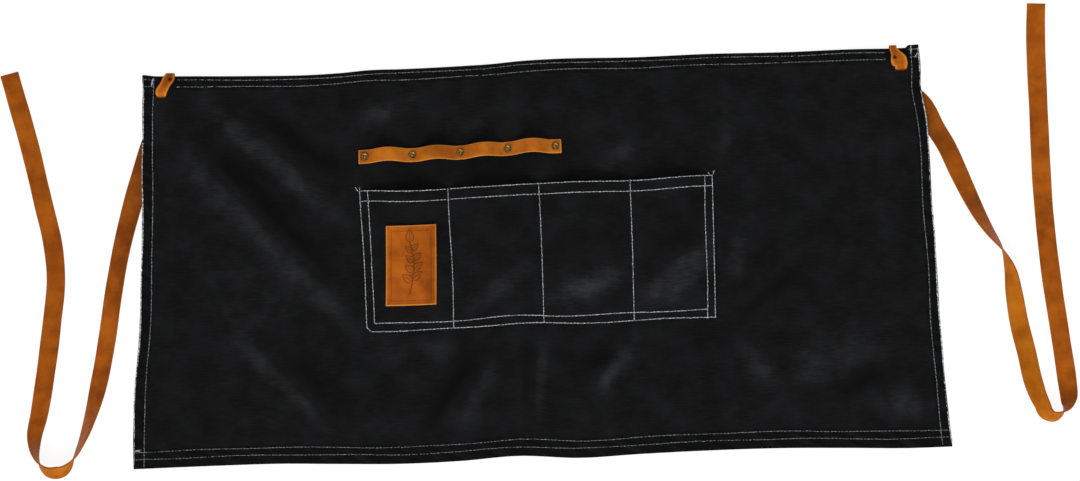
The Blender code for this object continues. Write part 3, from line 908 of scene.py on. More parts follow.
@dataclass(frozen=True)
class Weave:
    """How fine the canvas's threads, slubs, clouds and grit are, and how much each one shows."""

    threads_per_metre: float = 1300.0
    wave_bands: float = 3.2
    unevenness: float = 0.6
    slubs: Triple = (85.0, 620.0, 1.0)
    swells: Triple = (260.0, 90.0, 1.0)
    clouds: float = 38.0
    grit: float = 900.0
    slub_range: Pair = (0.40, 0.72)
    cloud_range: Pair = (0.34, 0.70)
    grit_range: Pair = (0.45, 0.8)
    cloud_share: float = 0.50
    grit_share: float = 0.25
    thread_height: float = 0.5
    slub_height: float = 0.6
    swell_height: float = 0.5

    def build(self) -> bpy.types.NodeTree:
        """The group: crossed threads, uneven slubs along the weft and cloudy fading.

        Returns:
            The group.
        """
        tree, given, out = new_group("canvas_weave", ("Slub",), ("Shade", "Height"))
        vector = given.outputs["Vector"]
        crossed = []
        scale = self.threads_per_metre / self.wave_bands
        for direction in ("X", "Y"):
            wave = tree.add("TexWave", bands_direction=direction)
            set_inputs(wave, {"Scale": scale, "Distortion": self.unevenness})
            tree.link(vector, wave.inputs["Vector"])
            crossed.append(wave.outputs["Fac"])
        threads = tree.math("MULTIPLY", *crossed)
        slubs = tree.noise(tree.stretch(vector, self.slubs), 1.0, 3.0)
        swells = tree.noise(tree.stretch(vector, self.swells), 1.0, 2.0)
        streaky = tree.ramp(slubs, *self.slub_range)
        clouds = tree.ramp(tree.noise(vector, self.clouds, 5.0), *self.cloud_range)
        grit = tree.ramp(tree.noise(vector, self.grit, 2.0), *self.grit_range)
        shade = tree.total(
            (streaky, given.outputs["Slub"]), (clouds, self.cloud_share), (grit, self.grit_share)
        )
        height = tree.total(
            (threads, self.thread_height), (slubs, self.slub_height), (swells, self.swell_height)
        )
        tree.link(shade, out.inputs["Shade"])
        tree.link(height, out.inputs["Height"])
        return tree.tree


@dataclass(frozen=True)
class Grain:
    """How fine waxed leather's clouds, patches, pores and scuffs are, and how much each shows."""

    clouds: float = 62.0
    patches: float = 13.0
    pores: float = 1400.0
    wrinkles: float = 260.0
    scuffs: Triple = (60.0, 420.0, 90.0)
    scuff_turn: float = 35.0
    cloud_range: Pair = (0.30, 0.70)
    patch_range: Pair = (0.34, 0.66)
    scuff_range: Pair = (0.62, 0.8)
    cloud_share: float = 0.45
    patch_share: float = 0.35
    pore_share: float = 0.2
    pore_height: float = 0.35
    wrinkle_height: float = 0.65

    def build(self) -> bpy.types.NodeTree:
        """The group: cloudy tone, fine pores and short pale scuffs.

        Returns:
            The group.
        """
        tree, given, out = new_group("leather_grain", ("Scuff",), ("Tone", "Height"))
        vector = given.outputs["Vector"]
        clouds = tree.ramp(tree.noise(vector, self.clouds, 5.0), *self.cloud_range)
        patches = tree.ramp(tree.noise(vector, self.patches, 3.0), *self.patch_range)
        pores = tree.noise(vector, self.pores, 2.0)
        wrinkles = tree.noise(vector, self.wrinkles, 3.0)
        turned = tree.stretch(vector, self.scuffs, self.scuff_turn)
        scuffs = tree.ramp(tree.noise(turned, 1.0, 3.0), *self.scuff_range)
        tone = tree.total(
            (clouds, self.cloud_share),
            (patches, self.patch_share),
            (pores, self.pore_share),
            (scuffs, given.outputs["Scuff"]),
        )
        height = tree.total((pores, self.pore_height), (wrinkles, self.wrinkle_height))
        tree.link(tone, out.inputs["Tone"])
        tree.link(height, out.inputs["Height"])
        return tree.tree


@dataclass(frozen=True)
class Canvas:
    """The finish of the black cotton canvas."""

    name: str = "canvas"
    dark: Triple = (0.0020, 0.0021, 0.0024)
    light: Triple = (0.0080, 0.0083, 0.0093)
    # Painted highlight on the lit sides of the folds, from its darkest to its lightest tone
    lit_fold_dark: Triple = (0.0085, 0.0088, 0.0096)
    lit_fold_light: Triple = (0.0330, 0.0340, 0.0365)
    # Painted shade beside the folds; also the darker hems
    deep: Triple = (0.0010, 0.0010, 0.0012)
    roughness: float = 0.88
    slub: float = 0.34
    bump: float = 0.35
    bump_depth: float = 0.0004
    patch_scale: float = 48.0
    patch_range: Pair = (0.32, 0.68)
    patch_share: float = 0.4
    patch_least: float = 0.85
    shine: float = 0.10
    sheen: float = 0.02
    sheen_roughness: float = 0.45

    def build(self, weave: bpy.types.NodeTree) -> Material:
        """The cloth's material, which follows the piece's UV map.

        Args:
            weave: the weave's group.

        Returns:
            The material.
        """
        material, tree, shader = new_material(self.name)
        flat = tree.add("UVMap").outputs["UV"]
        group = tree.add("Group", node_tree=weave)
        set_inputs(group, {"Slub": self.slub})
        tree.link(flat, group.inputs["Vector"])
        patchy = tree.ramp(tree.noise(flat, self.patch_scale, 5.0), *self.patch_range)
        uneven = tree.math("ADD", tree.math("MULTIPLY", patchy, self.patch_share), self.patch_least)
        # The stored share paints highlight on the folds' lit sides and shade beside them
        worn = tree.math("MULTIPLY", tree.stored("worn"), uneven)
        colour = tree.blend(group.outputs["Shade"], self.dark, self.light)
        fold_shading = tree.blend(group.outputs["Shade"], self.lit_fold_dark, self.lit_fold_light)
        colour = tree.blend(tree.ramp(worn, 0.0, 1.0), colour, fold_shading)
        colour = tree.blend(tree.ramp(worn, 0.0, -1.0), colour, self.deep)
        tree.link(colour, shader.inputs["Base Color"])
        tree.bump(group.outputs["Height"], self.bump, self.bump_depth, shader)
        finish = {
            "Roughness": self.roughness,
            "Specular IOR Level": self.shine,
            "Sheen Weight": self.sheen,
            "Sheen Roughness": self.sheen_roughness,
        }
        set_inputs(shader, finish)
        return material


@dataclass(frozen=True)
class Leather:
    """The finish of one leather: its darkest and its lightest tone, gloss and wear."""

    name: str
    dark: Triple
    light: Triple
    roughness: float = 0.52
    scuff: float = 0.3
    bump: float = 0.25
    bump_depth: float = 0.0003
    pressed: Triple | None = None
    raised: Triple | None = None
    shine: float = 0.22
    shine_tint: Triple = (1.0, 0.62, 0.30)

    def build(self, grain: bpy.types.NodeTree) -> Material:
        """The leather's material: darkened where the piece marks pressed lines and painted shade,
        paled where it marks pale rims and painted highlights.

        Args:
            grain: the grain's group.

        Returns:
            The material.
        """
        material, tree, shader = new_material(self.name)
        group = tree.add("Group", node_tree=grain)
        set_inputs(group, {"Scuff": self.scuff})
        tree.link(tree.add("TexCoord").outputs["Object"], group.inputs["Vector"])
        colour = tree.blend(group.outputs["Tone"], self.dark, self.light)
        # rim paints pale rims, and painted highlight on the ties' loops and the strip's edges; press
        # paints pressed lines, and painted shade on the ties
        for share, tone in (("rim", self.raised), ("press", self.pressed)):
            if tone:
                colour = tree.blend(tree.stored(share), colour, tone)
        tree.link(colour, shader.inputs["Base Color"])
        tree.bump(group.outputs["Height"], self.bump, self.bump_depth, shader)
        finish = {
            "Roughness": self.roughness,
            "Specular IOR Level": self.shine,
            "Specular Tint": (*self.shine_tint, 1.0),
        }
        set_inputs(shader, finish)
        return material


@dataclass(frozen=True)
class Plain:
    """A finish with a plain or lightly clouded colour."""

    name: str
    dark: Triple
    light: Triple
    roughness: float = 0.8
    metallic: float = 0.0
    scale: float = 400.0
    glow: float = 0.0
    cloud_range: Pair = (0.3, 0.7)
    # Places round which it gives no light of its own
    unlit: tuple[Pair, ...] = ()
    unlit_radius: float = 0.010

    def build(self) -> Material:
        """The material, clouded in the object's own coordinates.

        Returns:
            The material.
        """
        material, tree, shader = new_material(self.name)
        place = tree.add("TexCoord").outputs["Object"]
        share = tree.ramp(tree.noise(place, self.scale, 2.0), *self.cloud_range)
        tree.link(tree.blend(share, self.dark, self.light), shader.inputs["Base Color"])
        finish = {
            "Roughness": self.roughness,
            "Metallic": self.metallic,
            "Emission Strength": self.glow,
            "Emission Color": (*WHITE, 1.0),
        }
        set_inputs(shader, finish)
        lit = None
        for x, y in self.unlit:
            distance = tree.add("VectorMath", operation="DISTANCE")
            distance.inputs[1].default_value = (x, y, 0.0)
            tree.link(place, distance.inputs[0])
            beyond = tree.math("GREATER_THAN", distance.outputs["Value"], self.unlit_radius)
            lit = beyond if lit is None else tree.math("MULTIPLY", lit, beyond)
        if lit is not None:
            tree.link(tree.blend(lit, BLACK, WHITE), shader.inputs["Emission Color"])
        return material


@dataclass
class Finishes:
    """Every material of the apron, built once."""

    canvas: Material = field(init=False)
    grain: Material = field(init=False)
    flesh: Material = field(init=False)
    raw_edge: Material = field(init=False)
    strip: Material = field(init=False)
    patch: Material = field(init=False)
    bright_thread: Material = field(init=False)
    dull_thread: Material = field(init=False)
    side_thread: Material = field(init=False)
    edge_thread: Material = field(init=False)
    brass: Material = field(init=False)

    def __post_init__(self) -> None:
        """Build the shared groups and then the materials."""
        grain = Grain().build()
        self.canvas = Canvas().build(Weave().build())
        self.grain = Leather(
            "tie_grain",
            (0.17, 0.030, 0.0010),
            (0.43, 0.105, 0.0050),
            # Painted shade in the ties' eyelet dents and beside the panel's sides
            pressed=(0.020, 0.006, 0.002),
            # Painted highlight on the loops' front edges
            raised=(0.66, 0.24, 0.030),
        ).build(grain)
        self.flesh = Leather(
            "tie_flesh",
            (0.23, 0.050, 0.0015),
            (0.47, 0.145, 0.0080),
            roughness=0.75,
            scuff=0.2,
            shine=0.1,
        ).build(grain)
        self.raw_edge = Leather(
            "tie_edge", (0.20, 0.040, 0.0012), (0.42, 0.110, 0.0060), roughness=0.8, shine=0.05
        ).build(grain)
        self.strip = Leather(
            "strip_leather",
            (0.20, 0.043, 0.0022),
            (0.55, 0.160, 0.0115),
            # Pale raw edge with a painted highlight on it
            raised=(0.80, 0.34, 0.060),
        ).build(grain)
        self.patch = Leather(
            "patch_leather",
            (0.18, 0.032, 0.0010),
            (0.50, 0.118, 0.0065),
            roughness=0.58,
            scuff=0.40,
            pressed=(0.085, 0.020, 0.003),
            raised=(0.76, 0.29, 0.050),
        ).build(grain)
        threads = (
            Plain("bright_thread", (0.20, 0.21, 0.22), (0.55, 0.57, 0.59)),
            Plain("dull_thread", (0.045, 0.048, 0.052), (0.25, 0.262, 0.28)),
            Plain("side_thread", (0.040, 0.045, 0.052), (0.22, 0.236, 0.255)),
            Plain("edge_thread", (0.10, 0.108, 0.115), (0.62, 0.64, 0.66)),
        )
        self.bright_thread, self.dull_thread, self.side_thread, self.edge_thread = (
            thread.build() for thread in threads
        )
        self.brass = Plain(
            "rivet_brass",
            (0.060, 0.034, 0.010),
            (0.34, 0.200, 0.062),
            roughness=0.46,
            metallic=1.0,
            scale=700.0,
        ).build()


@dataclass
class Cloth:
    """The lying panel: where each place of the flat cloth comes to rest, and how high."""

    width: float = 0.800
    depth: float = 0.400
    ply: float = 0.0010
    hem: float = 0.0024
    top_hem: float = 0.014
    bottom_hem: float = 0.018
    side_hem: float = 0.011
    step: float = 0.0025
    under_field: float = 0.0010
    fold_rise: float = 0.008
    fold_end: float = 0.25
    fold_spread: float = 1.45
    crease_rise: float = 0.0015
    wave_rise: float = 0.0010
    hem_black: float = 0.60
    roping: float = 0.45
    calm_from: float = 0.0155
    calm_over: float = 0.030
    lift: float = 0.0021
    lift_margin: float = 0.016
    under_reach: float = 0.06
    under_batch: int = 50
    pucker: float = 0.00022
    # How far in from the edge the puckers begin to fade, and over how far
    pucker_ends: Pair = (0.010, 0.014)
    pucker_sides: Pair = (0.006, 0.010)
    # The worn twists of the hems in radians to the metre, up and across, and their drift
    rope: Triple = (410.0, 260.0, 63.0)
    rope_fading: Pair = (97.0, 71.0)
    # What is sewn and riveted on the panel: left, right, low and high on the flat cloth
    pocket: tuple[float, float, float, float] = (0.2195, 0.580, 0.1335, 0.2775)
    strip: tuple[float, float, float, float] = (0.2202, 0.4266, 0.3054, 0.3196)
    hitches: tuple[Hitch, ...] = (LEFT_HITCH, RIGHT_HITCH)
    slot_ease: float = 0.0002
    slot_half: float = 0.0031
    first_rivet: Pair = (0.2264, 0.3125)
    # The small tabs drawn out at the upper corners
    tab_reach: float = 0.0135
    tab_fall: float = 0.020
    tab_ease: float = 0.003
    right_tab: float = 0.0026
    left_tab: float = 0.0014
    shift: Array = field(init=False)
    under: Array = field(init=False)

    def __post_init__(self) -> None:
        """Make the four edges, then set the map in the frame by the first rivet."""
        self.bows = tuple(
            smooth_curve([row.along for row in rows], [row.out for row in rows])
            for rows in (TOP_EDGE, BOTTOM_EDGE, LEFT_EDGE, RIGHT_EDGE)
        )
        self.shift = np.zeros(2)
        low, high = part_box("rivet_1")
        rivet = np.array(((low.x + high.x) / 2.0, (low.y + high.y) / 2.0))
        u, v = self.first_rivet
        self.shift = rivet - self.spot(np.array([u]), np.array([v]))[0]
        ties = np.concatenate([coordinates(bpy.data.objects[node].data) for node in TIE_NODES])
        low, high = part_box("apron_panel")
        near = (ties[:, 0] > low.x - self.under_reach) & (ties[:, 0] < high.x + self.under_reach)
        self.under = np.unique(np.round(ties[near, :2], 4), axis=0)

    def edge(self, bow: Callable, start: Pair, end: Pair, out: Pair, share: Array) -> Array:
        """Places along one edge of the lying panel.

        Args:
            bow: how far the edge bows out along itself.
            start, end: its corners, as shares.
            out: the way that it bows.
            share: places along it.

        Returns:
            A row of x and y each.
        """
        size = np.array((self.width, self.depth))
        first = np.array(start) * size
        chord = first + (np.array(end) * size - first) * share[:, None]
        return chord + np.array(out) * bow(share)[:, None] * self.depth

    def spot(self, u: Array, v: Array) -> Array:
        """Where places of the flat cloth lie seen from above, a row of x and y each.

        Args:
            u, v: places on the flat cloth.

        Returns:
            The rows.
        """
        s = u / self.width
        t = v / self.depth
        top, bottom, left, right = self.bows
        across = (
            self.edge(left, BOTTOM_LEFT, TOP_LEFT, (-1.0, 0.0), t) * (1.0 - s)[:, None]
            + self.edge(right, BOTTOM_RIGHT, TOP_RIGHT, (1.0, 0.0), t) * s[:, None]
        )
        along = (
            self.edge(bottom, BOTTOM_LEFT, BOTTOM_RIGHT, (0.0, -1.0), s) * (1.0 - t)[:, None]
            + self.edge(top, TOP_LEFT, TOP_RIGHT, (0.0, 1.0), s) * t[:, None]
        )
        size = np.array((self.width, self.depth))
        lower = np.array(BOTTOM_LEFT) * (1.0 - s)[:, None] + np.array(BOTTOM_RIGHT) * s[:, None]
        upper = np.array(TOP_LEFT) * (1.0 - s)[:, None] + np.array(TOP_RIGHT) * s[:, None]
        inner = (lower * (1.0 - t)[:, None] + upper * t[:, None]) * size
        spot = across + along - inner + self.shift
        high = eased((v - self.depth + self.tab_fall) / self.tab_fall)
        right_tab = eased((u - self.width + self.tab_reach) / self.tab_ease) * high * self.right_tab
        left_tab = eased((self.tab_reach - u) / self.tab_reach) * high * self.left_tab
        spot[:, 1] += right_tab
        spot[:, 1] += left_tab
        spot[:, 0] -= left_tab
        return spot

    def covered(self, spot: Array) -> Array:
        """How far a tie under the cloth lifts it at places seen from above.

        Args:
            spot: rows of x and y.

        Returns:
            A lift for each row.
        """
        nearest = np.full(len(spot), 1.0)
        for start in range(0, len(self.under), self.under_batch):
            part = self.under[start : start + self.under_batch]
            across = spot[:, None, 0] - part[None, :, 0]
            up = spot[:, None, 1] - part[None, :, 1]
            nearest = np.minimum(nearest, np.hypot(across, up).min(axis=1))
        return self.lift * (1.0 - eased((nearest - self.lift_margin) / self.calm_over))

    def calm(self, u: Array, v: Array) -> Array:
        """0 where the cloth is held flat by what is sewn or riveted on it, 1 in the open.

        Args:
            u, v: places on the flat cloth.

        Returns:
            A share for each place.
        """
        share = np.ones(len(u))
        for left, right, low, high in (self.pocket, self.strip):
            aside = np.maximum(np.maximum(left - u, u - right), 0.0)
            above = np.maximum(np.maximum(low - v, v - high), 0.0)
            outside = np.hypot(aside, above) - self.calm_from
            share = np.minimum(share, eased(outside / self.calm_over))
        for hitch in self.hitches:
            away = np.hypot(u - hitch.slot_u, v - self.depth + hitch.below)
            outside = away - hitch.below - hitch.width
            share = np.minimum(share, eased(outside / self.calm_over))
        sides = np.minimum(u, self.width - u) - self.side_hem
        ends = np.minimum(v - self.bottom_hem, self.depth - self.top_hem - v)
        return np.minimum(share, eased((np.minimum(sides, ends) - self.step) / self.calm_over))

    def slot_box(self, hitch: Hitch) -> tuple[float, float, float, float]:
        """A slot's left, right, low and high bounds on the flat cloth.

        Args:
            hitch: the slot's hitch.

        Returns:
            The four bounds.
        """
        across = hitch.width / 2.0 + self.slot_ease
        up = self.slot_half
        middle = self.depth - hitch.below
        return hitch.slot_u - across, hitch.slot_u + across, middle - up, middle + up

    def slot_spots(self) -> tuple[Pair, ...]:
        """Where the middles of the slots lie seen from above.

        Returns:
            Each middle's x and y.
        """
        u = np.array([hitch.slot_u for hitch in self.hitches])
        v = np.array([self.depth - hitch.below for hitch in self.hitches])
        return tuple((float(x), float(y)) for x, y in self.spot(u, v))

    def in_field(self, u: Array, v: Array) -> Array:
        """0 on the hems, 1 on the single cloth between them.

        Args:
            u, v: places on the flat cloth.

        Returns:
            A share for each place.
        """
        sides = np.minimum(u - self.side_hem, self.width - self.side_hem - u)
        ends = np.minimum(v - self.bottom_hem, self.depth - self.top_hem - v)
        return np.clip(np.minimum(sides, ends) / self.step, 0.0, 1.0)

    def folds(self, u: Array, v: Array) -> Array:
        """How far the soft folds, creases and waves lift the cloth.

        Args:
            u, v: places on the flat cloth.

        Returns:
            A height for each place.
        """
        s = u / self.width
        t = v / self.depth
        ratio = self.width / self.depth
        ridge = np.zeros(len(u))
        for fold in FOLDS:
            aside, run = to_ridge(s, t, fold, ratio)
            shape = 1.0 - eased(aside / (self.fold_spread * fold.half_width))
            taper = eased(2.0 * np.minimum(run, 1.0 - run))
            strength = self.fold_end + (1.0 - self.fold_end) * taper
            ridge = np.maximum(ridge, fold.rise * shape * strength)
        wave = np.zeros(len(u))
        for row in WAVES:
            turn = 2.0 * pi * (row.across * s + row.up * t) + row.phase
            wave = wave + row.rise * (1.0 + np.sin(turn))
        crease = creases(s, t, CREASES, ratio)
        high = ridge * self.fold_rise + crease * self.crease_rise + wave * self.wave_rise
        return high * self.calm(u, v)

    def worn(self, u: Array, v: Array) -> Array:
        """Painted fold light: highlight on the folds' lit sides, below 0 shade beside them; the hems
        darker.

        Args:
            u, v: places on the flat cloth.

        Returns:
            A share for each place.
        """
        field_share = self.in_field(u, v)
        fold_shading = streaks(u / self.width, v / self.depth, FOLD_SHADING, self.width / self.depth)
        up, across, drift = self.rope
        rope = np.sin(v * up + u * across + 2.0 * np.sin(v * drift))
        up, across = self.rope_fading
        rope = rope * np.sin(v * up + u * across + 1.0)
        return fold_shading * field_share + (self.roping * rope - self.hem_black) * (1.0 - field_share)

    def puckers(self, u: Array, v: Array) -> Array:
        """Small puckers that the seams draw into the hems.

        Args:
            u, v: places on the flat cloth.

        Returns:
            A height for each place.
        """
        start, reach = self.pucker_ends
        at_ends = 1.0 - eased((np.minimum(self.depth - v, v) - start) / reach)
        start, reach = self.pucker_sides
        at_sides = 1.0 - eased((np.minimum(self.width - u, u) - start) / reach)
        along = PUCKERS_ALONG.along(u) * at_ends
        up = PUCKERS_UP.along(v) * at_sides * (1.0 - at_ends)
        return self.pucker * (along + up)

    def top(self, u: Array, v: Array) -> Array:
        """Places on the cloth's front, a row of x, y and z each.

        Args:
            u, v: places on the flat cloth.

        Returns:
            The rows.
        """
        spot = self.spot(u, v)
        field_share = self.in_field(u, v)
        height = self.covered(spot) + self.folds(u, v) + self.puckers(u, v)
        height = height + self.hem + (self.ply + self.under_field - self.hem) * field_share
        return np.column_stack((spot, height))


@dataclass
class Panel:
    """The apron's panel, one sheet with its four hems and two slots."""

    cloth: Cloth
    cell: float = 0.0034
    fine: float = 0.0016
    hem_margin: float = 0.004
    edge_round: float = 0.0004

    def columns(self) -> Array:
        """The u of the columns, finer in the side hems and by the slots.

        Returns:
            The places, in rising order.
        """
        left, right = (self.cloth.slot_box(hitch) for hitch in self.cloth.hitches)
        return evenly(
            0.0,
            (left[0], self.fine),
            (left[1], self.fine),
            (self.cloth.width / 2.0, self.cell),
            (right[0], self.cell),
            (right[1], self.fine),
            (self.cloth.width, self.fine),
        )

    def rows(self) -> Array:
        """The v of the rows, finer in the hems and by the slots.

        Returns:
            The places, in rising order.
        """
        left, right = (self.cloth.slot_box(hitch) for hitch in self.cloth.hitches)
        return evenly(
            0.0,
            (self.cloth.bottom_hem + self.hem_margin, self.fine),
            (right[2], self.cell),
            (left[2], self.fine),
            (right[3], self.fine),
            (left[3], self.fine),
            (self.cloth.depth, self.fine),
        )

    def build(self, finishes: Finishes) -> Piece:
        """Lay the sheet, open its slots, thicken it and dress it.

        Args:
            finishes: the materials.

        Returns:
            The sheet.
        """
        columns = self.columns()
        rows = self.rows()
        piece = laid_grid("apron_cloth", columns, rows, self.cloth.top)
        bpy.ops.object.mode_set(mode="EDIT")
        bpy.ops.mesh.select_all(action="DESELECT")
        bpy.ops.mesh.select_mode(type="FACE")
        bpy.ops.object.mode_set(mode="OBJECT")
        uv = piece.data.uv_layers.active.data
        slots = [self.cloth.slot_box(hitch) for hitch in self.cloth.hitches]
        for face in piece.data.polygons:
            corners = [uv[loop].uv for loop in face.loop_indices]
            middle = sum(corners, Vector((0.0, 0.0))) / len(corners)
            face.select = any(
                left < middle.x < right and low < middle.y < high for left, right, low, high in slots
            )
        bpy.ops.object.mode_set(mode="EDIT")
        bpy.ops.mesh.delete(type="FACE")
        bpy.ops.object.mode_set(mode="OBJECT")
        # Painted highlight and shade of the folds, and the darker hems, for the canvas's colour
        mark(piece.data, "worn", self.cloth.worn(*flat_places(piece.data).T))
        solidify(piece, self.cloth.ply)
        soften_edges(piece, self.edge_round)
        finish_piece(piece, finishes.canvas, "canvas", "apron_panel")
        return piece


@dataclass
class Pocket:
    """The front pocket, puffed a little between its seams and dividers."""

    cloth: Cloth
    left: float = 0.2195
    bottom: float = 0.1335
    width: float = 0.3605
    height: float = 0.1448
    narrowing: float = 0.010
    narrowing_left: float = 0.7
    wall: float = 0.0012
    seam: float = 0.009
    ease: float = 0.0098
    puff_up: float = 2.4
    puff_across: float = 2.2
    mouth_dip: float = 0.0018
    clearance: float = 0.0003
    dividers: tuple[float, ...] = (0.252, 0.508, 0.765)
    dent_rise: float = 0.0004
    # Two waves of dents in radians to the metre, across and up each
    dent_turns: tuple[float, ...] = (95.0, 60.0, 38.0, -120.0)
    drawn_rise: float = 0.0018
    cell: float = 0.0024
    seam_cell: float = 0.0015
    edge_share: float = 0.3
    # How far its weave is moved, so that its slubs don't run on from the panel's
    weave_shift: Pair = (0.31, 0.47)

    def flat(self, p: Array, q: Array) -> tuple[Array, Array]:
        """The u and v of shares of the pocket's width and height.

        Args:
            p, q: shares of the pocket's width and height.

        Returns:
            The u and the v of each place.
        """
        narrow = self.narrowing * (1.0 - q)
        u = self.left + self.narrowing_left * narrow + p * (self.width - narrow)
        v = self.bottom + q * self.height - self.mouth_dip * q * 4.0 * p * (1.0 - p)
        return u, v

    def share(self, u: Array, v: Array) -> tuple[Array, Array]:
        """The shares of the pocket's width and height of places on the flat cloth.

        Args:
            u, v: places on the flat cloth.

        Returns:
            The two shares of each place.
        """
        q = (v - self.bottom) / self.height
        narrow = self.narrowing * (1.0 - q)
        return (u - self.left - self.narrowing_left * narrow) / (self.width - narrow), q

    def puff(self, p: Array, q: Array) -> Array:
        """How far the pocket stands off the panel.

        Args:
            p, q: shares of the pocket's width and height.

        Returns:
            A height for each place.
        """
        side = self.seam / self.width
        stops = (side, *self.dividers, 1.0 - side)
        floor = self.seam / self.height
        rise = 1.0 - (1.0 - np.clip((q - floor) / (1.0 - floor), 0.0, 1.0)) ** self.puff_up
        high = np.zeros(len(p))
        for left, right in zip(stops[:-1], stops[1:]):
            share = np.clip((p - left) / (right - left), 0.0, 1.0)
            high = high + self.ease * rise * (1.0 - np.abs(2.0 * share - 1.0) ** self.puff_across)
        return high

    def dents(self, p: Array, q: Array) -> Array:
        """Shallow dents and drawn folds over the puffed cloth.

        Args:
            p, q: shares of the pocket's width and height.

        Returns:
            A height for each place.
        """
        u = p * self.width
        v = q * self.height
        across, up, far_across, far_up = self.dent_turns
        dent = np.sin(u * across + v * up) + np.sin(u * far_across + v * far_up + 1.4)
        drawn = creases(p, q, POCKET_FOLDS, self.width / self.height)
        raised = self.dent_rise * dent + self.drawn_rise * drawn
        return raised * self.puff(p, q) / self.ease

    def worn(self, p: Array, q: Array) -> Array:
        """Painted highlight on the lit sides of the pocket's folds, below 0 painted shade beside
        them.
        """
        return streaks(p, q, POCKET_FOLD_SHADING, self.width / self.height)

    def top(self, p: Array, q: Array) -> Array:
        """Places on the pocket's front, a row of x, y and z each.

        Args:
            p, q: shares of the pocket's width and height.

        Returns:
            The rows.
        """
        point = self.cloth.top(*self.flat(p, q))
        point[:, 2] += self.clearance + self.wall + self.puff(p, q) + self.dents(p, q)
        return point

    def build(self, finishes: Finishes) -> Piece:
        """Lay the pocket's sheet over the panel, thicken it and dress it.

        Args:
            finishes: the materials.

        Returns:
            The sheet.
        """
        side = self.seam / self.width
        cell = self.cell / self.width
        seam_cell = self.seam_cell / self.width
        inner = [(divider, cell) for divider in (*self.dividers, 1.0 - side)]
        columns = evenly(0.0, (side, seam_cell), *inner, (1.0, seam_cell))
        rows = evenly(
            0.0,
            (self.seam / self.height, self.seam_cell / self.height),
            (1.0, self.cell / self.height),
        )
        piece = laid_grid("pocket_cloth", columns, rows, self.top)
        # Painted highlight and shade of the pocket's folds, for the canvas's colour
        mark(piece.data, "worn", self.worn(*flat_places(piece.data).T))
        uv = piece.data.uv_layers.active.data
        flat = np.empty(len(uv) * 2)
        uv.foreach_get("uv", flat)
        flat = flat.reshape(-1, 2) * (self.width, self.height) + self.weave_shift
        uv.foreach_set("uv", flat.ravel())
        solidify(piece, self.wall)
        soften_edges(piece, self.wall * self.edge_share)
        finish_piece(piece, finishes.canvas, "canvas", "pocket_panel")
        return piece


class Ground(NamedTuple):
    """What a seam is sewn on: its front, and the metres to one unit of its flat places."""

    place: Place
    size: Pair


@dataclass
class Seams:
    """Rows of stitches, each one small thread lying in the cloth."""

    pitch: float = 0.0035
    length: float = 0.0040
    radius: float = 0.00036
    segments: int = 6
    rings: int = 4
    sink: float = 0.0
    scatter: float = 0.00009
    # Radians to the metre in which a seam sways, and in which its thread sinks and rises
    sway: float = 55.0
    sinking: Pair = (61.0, 23.0)
    start_range: Pair = (0.0, 6.0)
    # The least and the most of a stitch's length and thickness, as shares
    lengths: Pair = (0.86, 1.1)
    thicknesses: Pair = (0.85, 1.15)
    seed: int = 11

    def __post_init__(self) -> None:
        """Model the one stitch that all the others are copies of."""
        deselect()
        bpy.ops.mesh.primitive_uv_sphere_add(segments=self.segments, ring_count=self.rings)
        stitch = adopt(bpy.context.object, "stitch")
        self.points = coordinates(stitch.data)[:, (2, 0, 1)]
        self.faces = [tuple(face.vertices) for face in stitch.data.polygons]
        bpy.data.objects.remove(stitch)
        self.random = np.random.default_rng(self.seed)

    def row(self, ground: Ground, start: Pair, end: Pair, wander: float = 0.00025) -> Array:
        """The points of the stitches along one straight seam of the flat cloth.

        Args:
            ground: what the seam is sewn on.
            start, end: the seam's ends, as flat places of the ground.
            wander: how far the seam strays to the side.

        Returns:
            Points, a block of them for each stitch.
        """
        place, size = ground
        first = np.array(start)
        last = np.array(end)
        run = float(np.hypot(*((last - first) * size)))
        count = max(2, round(run / self.pitch))
        shares = (np.arange(count) + 0.5) / count
        aside = np.array((-(last - first)[1] * size[1], (last - first)[0] * size[0])) / run
        swaying = np.linspace(0.0, run * self.sway, count) + self.random.uniform(*self.start_range)
        stray = wander * np.sin(swaying) + self.random.normal(0.0, self.scatter, count)
        middles = first + (last - first) * shares[:, None] + aside * stray[:, None] / np.array(size)
        half = (last - first) / run * self.pitch * 0.5
        here = place(*middles.T)
        ahead = place(*(middles + half).T)
        behind = place(*(middles - half).T)
        along = unit(ahead - behind)
        side = unit(np.cross((0.0, 0.0, 1.0), along))
        up = np.cross(along, side)
        far = np.linspace(0.0, run, count)
        quick, slow = self.sinking
        sunk = np.sin(far * quick + self.random.uniform(*self.start_range))
        sunk = sunk + np.sin(far * slow + 1.0)
        here = here - up * (self.sink * np.clip(sunk, 0.0, 1.0))[:, None]
        lengths = self.length / 2.0 * self.random.uniform(*self.lengths, count)
        thick = self.radius * self.random.uniform(*self.thicknesses, count)
        shape = self.points[None, :, :]
        blocks = (
            here[:, None, :]
            + along[:, None, :] * shape[:, :, :1] * lengths[:, None, None]
            + side[:, None, :] * shape[:, :, 1:2] * thick[:, None, None]
            + up[:, None, :] * shape[:, :, 2:] * thick[:, None, None]
        )
        return blocks.reshape(-1, 3)

    def join(self, name: str, rows: list[Array], material: Material) -> Piece:
        """One piece from the stitches of several seams.

        Args:
            name: its name.
            rows: each seam's points.
            material: the thread.

        Returns:
            The piece.
        """
        points = np.concatenate(rows)
        size = len(self.points)
        faces = [
            tuple(corner + block * size for corner in face)
            for block in range(len(points) // size)
            for face in self.faces
        ]
        return finish_piece(from_arrays(name, points, faces), material, None)


# Loose thread ends beside the pocket's corners, from and to places on the flat cloth
LOOSE_ENDS = (
    ((0.2190, 0.2782), (0.2165, 0.2815)),
    ((0.2205, 0.2786), (0.2200, 0.2812)),
    ((0.5790, 0.2786), (0.5800, 0.2822)),
    ((0.5765, 0.2786), (0.5755, 0.2808)),
)


